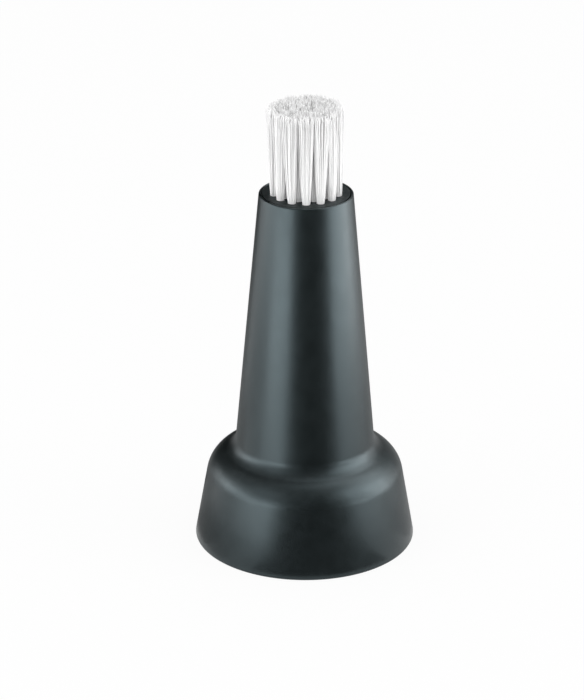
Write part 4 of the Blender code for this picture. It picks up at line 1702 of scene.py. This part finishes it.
@dataclass(frozen=True)
class ReflectorCard:
    """A curved card round the object, graded from its foot up and seen only in its gloss.

    Args:
        name: The card's name.
        azimuths: Where it starts and ends, from the front, positive to the right.
        glows: How bright each stretch of its section is up to the top, where 1 is white.
    """

    GLOW = "card_glow"
    OVERHEAD_GLOW = 1.1
    SECTION = ((0.031, 0.0008), (0.06, 0.0008), (0.15, 0.0008), (0.30, 0.0008), (0.60, 0.06),
               (0.60, 0.20), (0.60, 0.30), (0.60, 0.42), (0.60, 0.80), (0.20, 0.90), (0.001, 0.90))

    name: str
    azimuths: Point
    glows: tuple[float, ...]

    @classmethod
    def material(cls) -> Material:
        """Make the one finish of every card, which takes its glow from the mesh.

        Returns:
            The finish.
        """
        material, sheet, _, _ = new_material("reflector_card")
        level = sheet.add("ShaderNodeAttribute", attribute_name=cls.GLOW).outputs["Fac"]
        glow = sheet.add("ShaderNodeEmission", {"Color": WHITE, "Strength": level})
        sheet.dress(sheet.found("OUTPUT_MATERIAL"), {"Surface": glow.outputs["Emission"]})
        return material

    def build(self, material: Material, steps: int = 12) -> None:
        """Bend the card round the object.

        Args:
            material: The cards' finish.
            steps: Number of runs round its bend.
        """
        start, end = (math.radians(azimuth) for azimuth in self.azimuths)
        form = bmesh.new()
        glow = form.faces.layers.float.new(self.GLOW)
        stretches = zip(self.SECTION, self.SECTION[1:])
        for stretch, level in zip(stretches, (*self.glows, self.OVERHEAD_GLOW)):
            ends = [form.verts.new((radius * math.sin(start), -radius * math.cos(start), height))
                    for radius, height in stretch]
            drawn = len(form.faces)
            bmesh.ops.spin(form, geom=[*ends, form.edges.new(ends)], cent=CENTRE, axis=AXIS,
                           angle=end - start, steps=steps)
            form.faces.ensure_lookup_table()
            for face in form.faces[drawn:]:
                face[glow] = level
        item = as_object(self.name, form)
        item.data.materials.append(material)
        item.visible_camera = False
        item.visible_diffuse = False
        item.visible_shadow = False
        item.visible_transmission = False


BOXES = (
    SoftBox("left_soft_box", -60.0, 0.80, 0.50, (0.60, 0.60), 1.55),
    SoftBox("right_soft_box", 75.0, 0.80, 0.50, (0.60, 0.60), 1.60),
    SoftBox("front_soft_box", 0.0, 0.95, 0.60, (0.80, 0.60), 1.15),
)
CARDS = (
    ReflectorCard("front_card", (-30.0, 51.0), (0.1, 0.0, 0.0, 0.0, 0.0, 0.0, 0.0, 0.0, 0.0)),
    ReflectorCard("left_inner_card", (-50.0, -30.0), (0.8, 3.5, 1.0, 8.2, 4.9, 0.8, 1.1, 1.7, 0.0)),
    ReflectorCard("left_key_card", (-70.0, -50.0), (0.5, 2.2, 2.5, 7.3, 3.5, 0.7, 0.7, 1.8, 1.1)),
    ReflectorCard("left_side_card", (-110.0, -70.0), (0.3, 1.2, 0.5, 2.1, 5.7, 2.2, 0.9, 0.5, 0.4)),
    ReflectorCard("left_edge_card", (-130.0, -110.0),
                  (0.4, 0.4, 1.3, 1.3, 2.5, 0.1, 0.2, 0.6, 0.2)),
    ReflectorCard("right_key_card", (51.0, 80.0), (0.9, 1.6, 0.2, 8.2, 2.2, 4.5, 4.8, 4.0, 0.8)),
    ReflectorCard("right_side_card", (80.0, 110.0), (0.6, 1.0, 0.9, 6.7, 5.6, 7.7, 6.1, 4.2, 1.9)),
    ReflectorCard("right_edge_card", (110.0, 130.0), (0.6, 0.5, 1.1, 2.1, 1.5, 2.4, 1.9, 5.2, 3.4)),
    ReflectorCard("right_back_card", (130.0, 170.0), (0.6, 0.5, 0.6, 0.3, 0.3, 0.0, 0.0, 1.7, 2.2)),
    ReflectorCard("back_card", (170.0, 230.0), (0.0, 0.4, 0.3, 0.0, 0.0, 0.0, 0.0, 0.0, 0.2)),
)


@dataclass
class Studio:
    """Floor, white surround, cards, lamps and camera."""

    floor_radius: float = 4.0
    floor_colour: Colour = (0.90, 0.90, 0.90)
    floor_roughness: float = 0.9
    floor_glow: float = 0.92
    floor_steps: int = 64
    surround: float = 0.82
    lens: float = 153.61
    sensor_width: float = 36.0
    clip: Point = (0.01, 20.0)
    camera_place: Place = (-0.003591, -0.736296, 0.373044)
    camera_pitch: float = math.radians(23.419)
    camera_roll: float = math.radians(0.166)

    @staticmethod
    def seen(sheet: NodeSheet) -> Socket:
        """Tell where the background is seen directly, in gloss or through glass.

        Args:
            sheet: The sheet of the floor or the world.

        Returns:
            One where it is seen, and else nought.
        """
        path = sheet.add("ShaderNodeLightPath").outputs
        either = sheet.math("MAXIMUM", path["Is Camera Ray"], path["Is Glossy Ray"])
        return sheet.math("MAXIMUM", either, path["Is Transmission Ray"])

    def floor(self) -> None:
        """Lay a wide pale floor that keeps the object's shadow and shows white."""
        form = bmesh.new()
        bmesh.ops.create_circle(form, cap_ends=True, segments=self.floor_steps,
                                radius=self.floor_radius)
        item = as_object("studio_floor", form)
        material, sheet, shader, _ = new_material("pale_floor")
        sheet.dress(shader, {"Base Color": self.floor_colour, "Roughness": self.floor_roughness,
                             "Specular IOR Level": 0.0})
        glow = sheet.add("ShaderNodeEmission", {"Color": WHITE, "Strength": 1.0})
        share = sheet.math("MULTIPLY", self.seen(sheet), self.floor_glow)
        mix = sheet.add("ShaderNodeMixShader",
                        {"Fac": share, 1: shader.outputs[0], 2: glow.outputs[0]})
        sheet.dress(sheet.found("OUTPUT_MATERIAL"), {"Surface": mix.outputs[0]})
        item.data.materials.append(material)

    def world(self) -> None:
        """Set a white surround where it is seen, and a softer level where it lights."""
        world = bpy.data.worlds.new("studio_world")
        bpy.context.scene.world = world
        world.use_nodes = True
        sheet = NodeSheet(world.node_tree)
        level = sheet.ramped(self.seen(sheet), 0.0, 1.0, self.surround, 1.0)
        sheet.dress(sheet.found("BACKGROUND"), {"Color": WHITE, "Strength": level})

    def camera(self) -> None:
        """Set the camera at the photograph's place and angle."""
        lens = bpy.data.cameras.new("studio_camera")
        lens.lens = self.lens
        lens.sensor_width = self.sensor_width
        lens.clip_start, lens.clip_end = self.clip
        item = in_scene("studio_camera", lens)
        pitch = Matrix.Rotation(math.pi / 2.0 - self.camera_pitch, 3, "X")
        item.location = self.camera_place
        item.rotation_euler = (pitch @ Matrix.Rotation(self.camera_roll, 3, "Z")).to_euler()
        bpy.context.scene.camera = item

    def build(self, target: Vector) -> None:
        """Set the stage round the object.

        Args:
            target: The point that the lamps face.
        """
        self.floor()
        self.world()
        card_finish = ReflectorCard.material()
        for card in CARDS:
            card.build(card_finish)
        for box in BOXES:
            box.build(target)
        self.camera()
        bpy.context.scene.view_settings.view_transform = "Standard"


def clear_scene() -> None:
    """Remove whatever the file opened with."""
    for item in list(bpy.data.objects):
        bpy.data.objects.remove(item, do_unlink=True)


def corners(bounds: tuple[Vector, Vector]) -> list[list[float]]:
    """Turn a box into plain lists."""
    return [list(corner) for corner in bounds]


def main() -> None:
    """Build the visual model piece by piece, and the studio round it."""
    logging.basicConfig(level=logging.INFO, format="%(message)s")
    clear_scene()
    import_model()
    effects = Effects()
    sizes = Sizes()

    body_plastic = MouldedPlastic(
        "satin_grey_plastic", (0.0068, 0.0090, 0.0093), 0.37, COOL_GLOSS, specular_level=0.53,
        wear_level=sizes.body_height, dust_share=0.02).material(effects)
    plate_plastic = MouldedPlastic(
        "dark_plate_plastic", (0.030, 0.032, 0.034), 0.50, grain_scale=3600.0,
        wear_level=sizes.plate_level, dust_share=0.05).material(effects)
    block_plastic = MouldedPlastic(
        "matt_grey_plastic", (0.0084, 0.0110, 0.0113), 0.55, COOL_GLOSS, specular_level=0.32,
        wear_level=sizes.body_height, wear_reach=0.0003, dust_share=0.03).material(effects)
    bronze = TurnedMetal(
        "sintered_bronze", (0.46, 0.28, 0.12), (0.20, 0.12, 0.06), 0.42).material(effects)
    steel = TurnedMetal(
        "ground_steel", (0.58, 0.58, 0.58), (0.36, 0.35, 0.34), 0.28).material(effects)
    hardened = TurnedMetal(
        "hardened_steel", (0.36, 0.36, 0.37), (0.16, 0.155, 0.15), 0.34,
        ring_scale=3200.0).material(effects)
    rubber = SealRubber("seal_black_rubber").material(effects)
    nylon = NylonFilament("white_nylon").material(effects)

    housing = NoseHousing(sizes)
    housing.build(body_plastic)
    rim_radius = radius_at(housing.wall_outline(sizes.wall), sizes.plate_top) - sizes.fit_gap
    RearBearing(sizes, rim_radius).build(plate_plastic, bronze, steel)
    FrontBearing(sizes).build(bronze, steel, rubber)
    DriveLine(sizes).build(steel, hardened)
    BristleField(sizes).build(block_plastic, nylon)
    Studio().build(Vector((0.0, 0.0, sizes.body_height / 2.0)))

    bpy.context.view_layer.update()


if __name__ == "__main__":
    main()
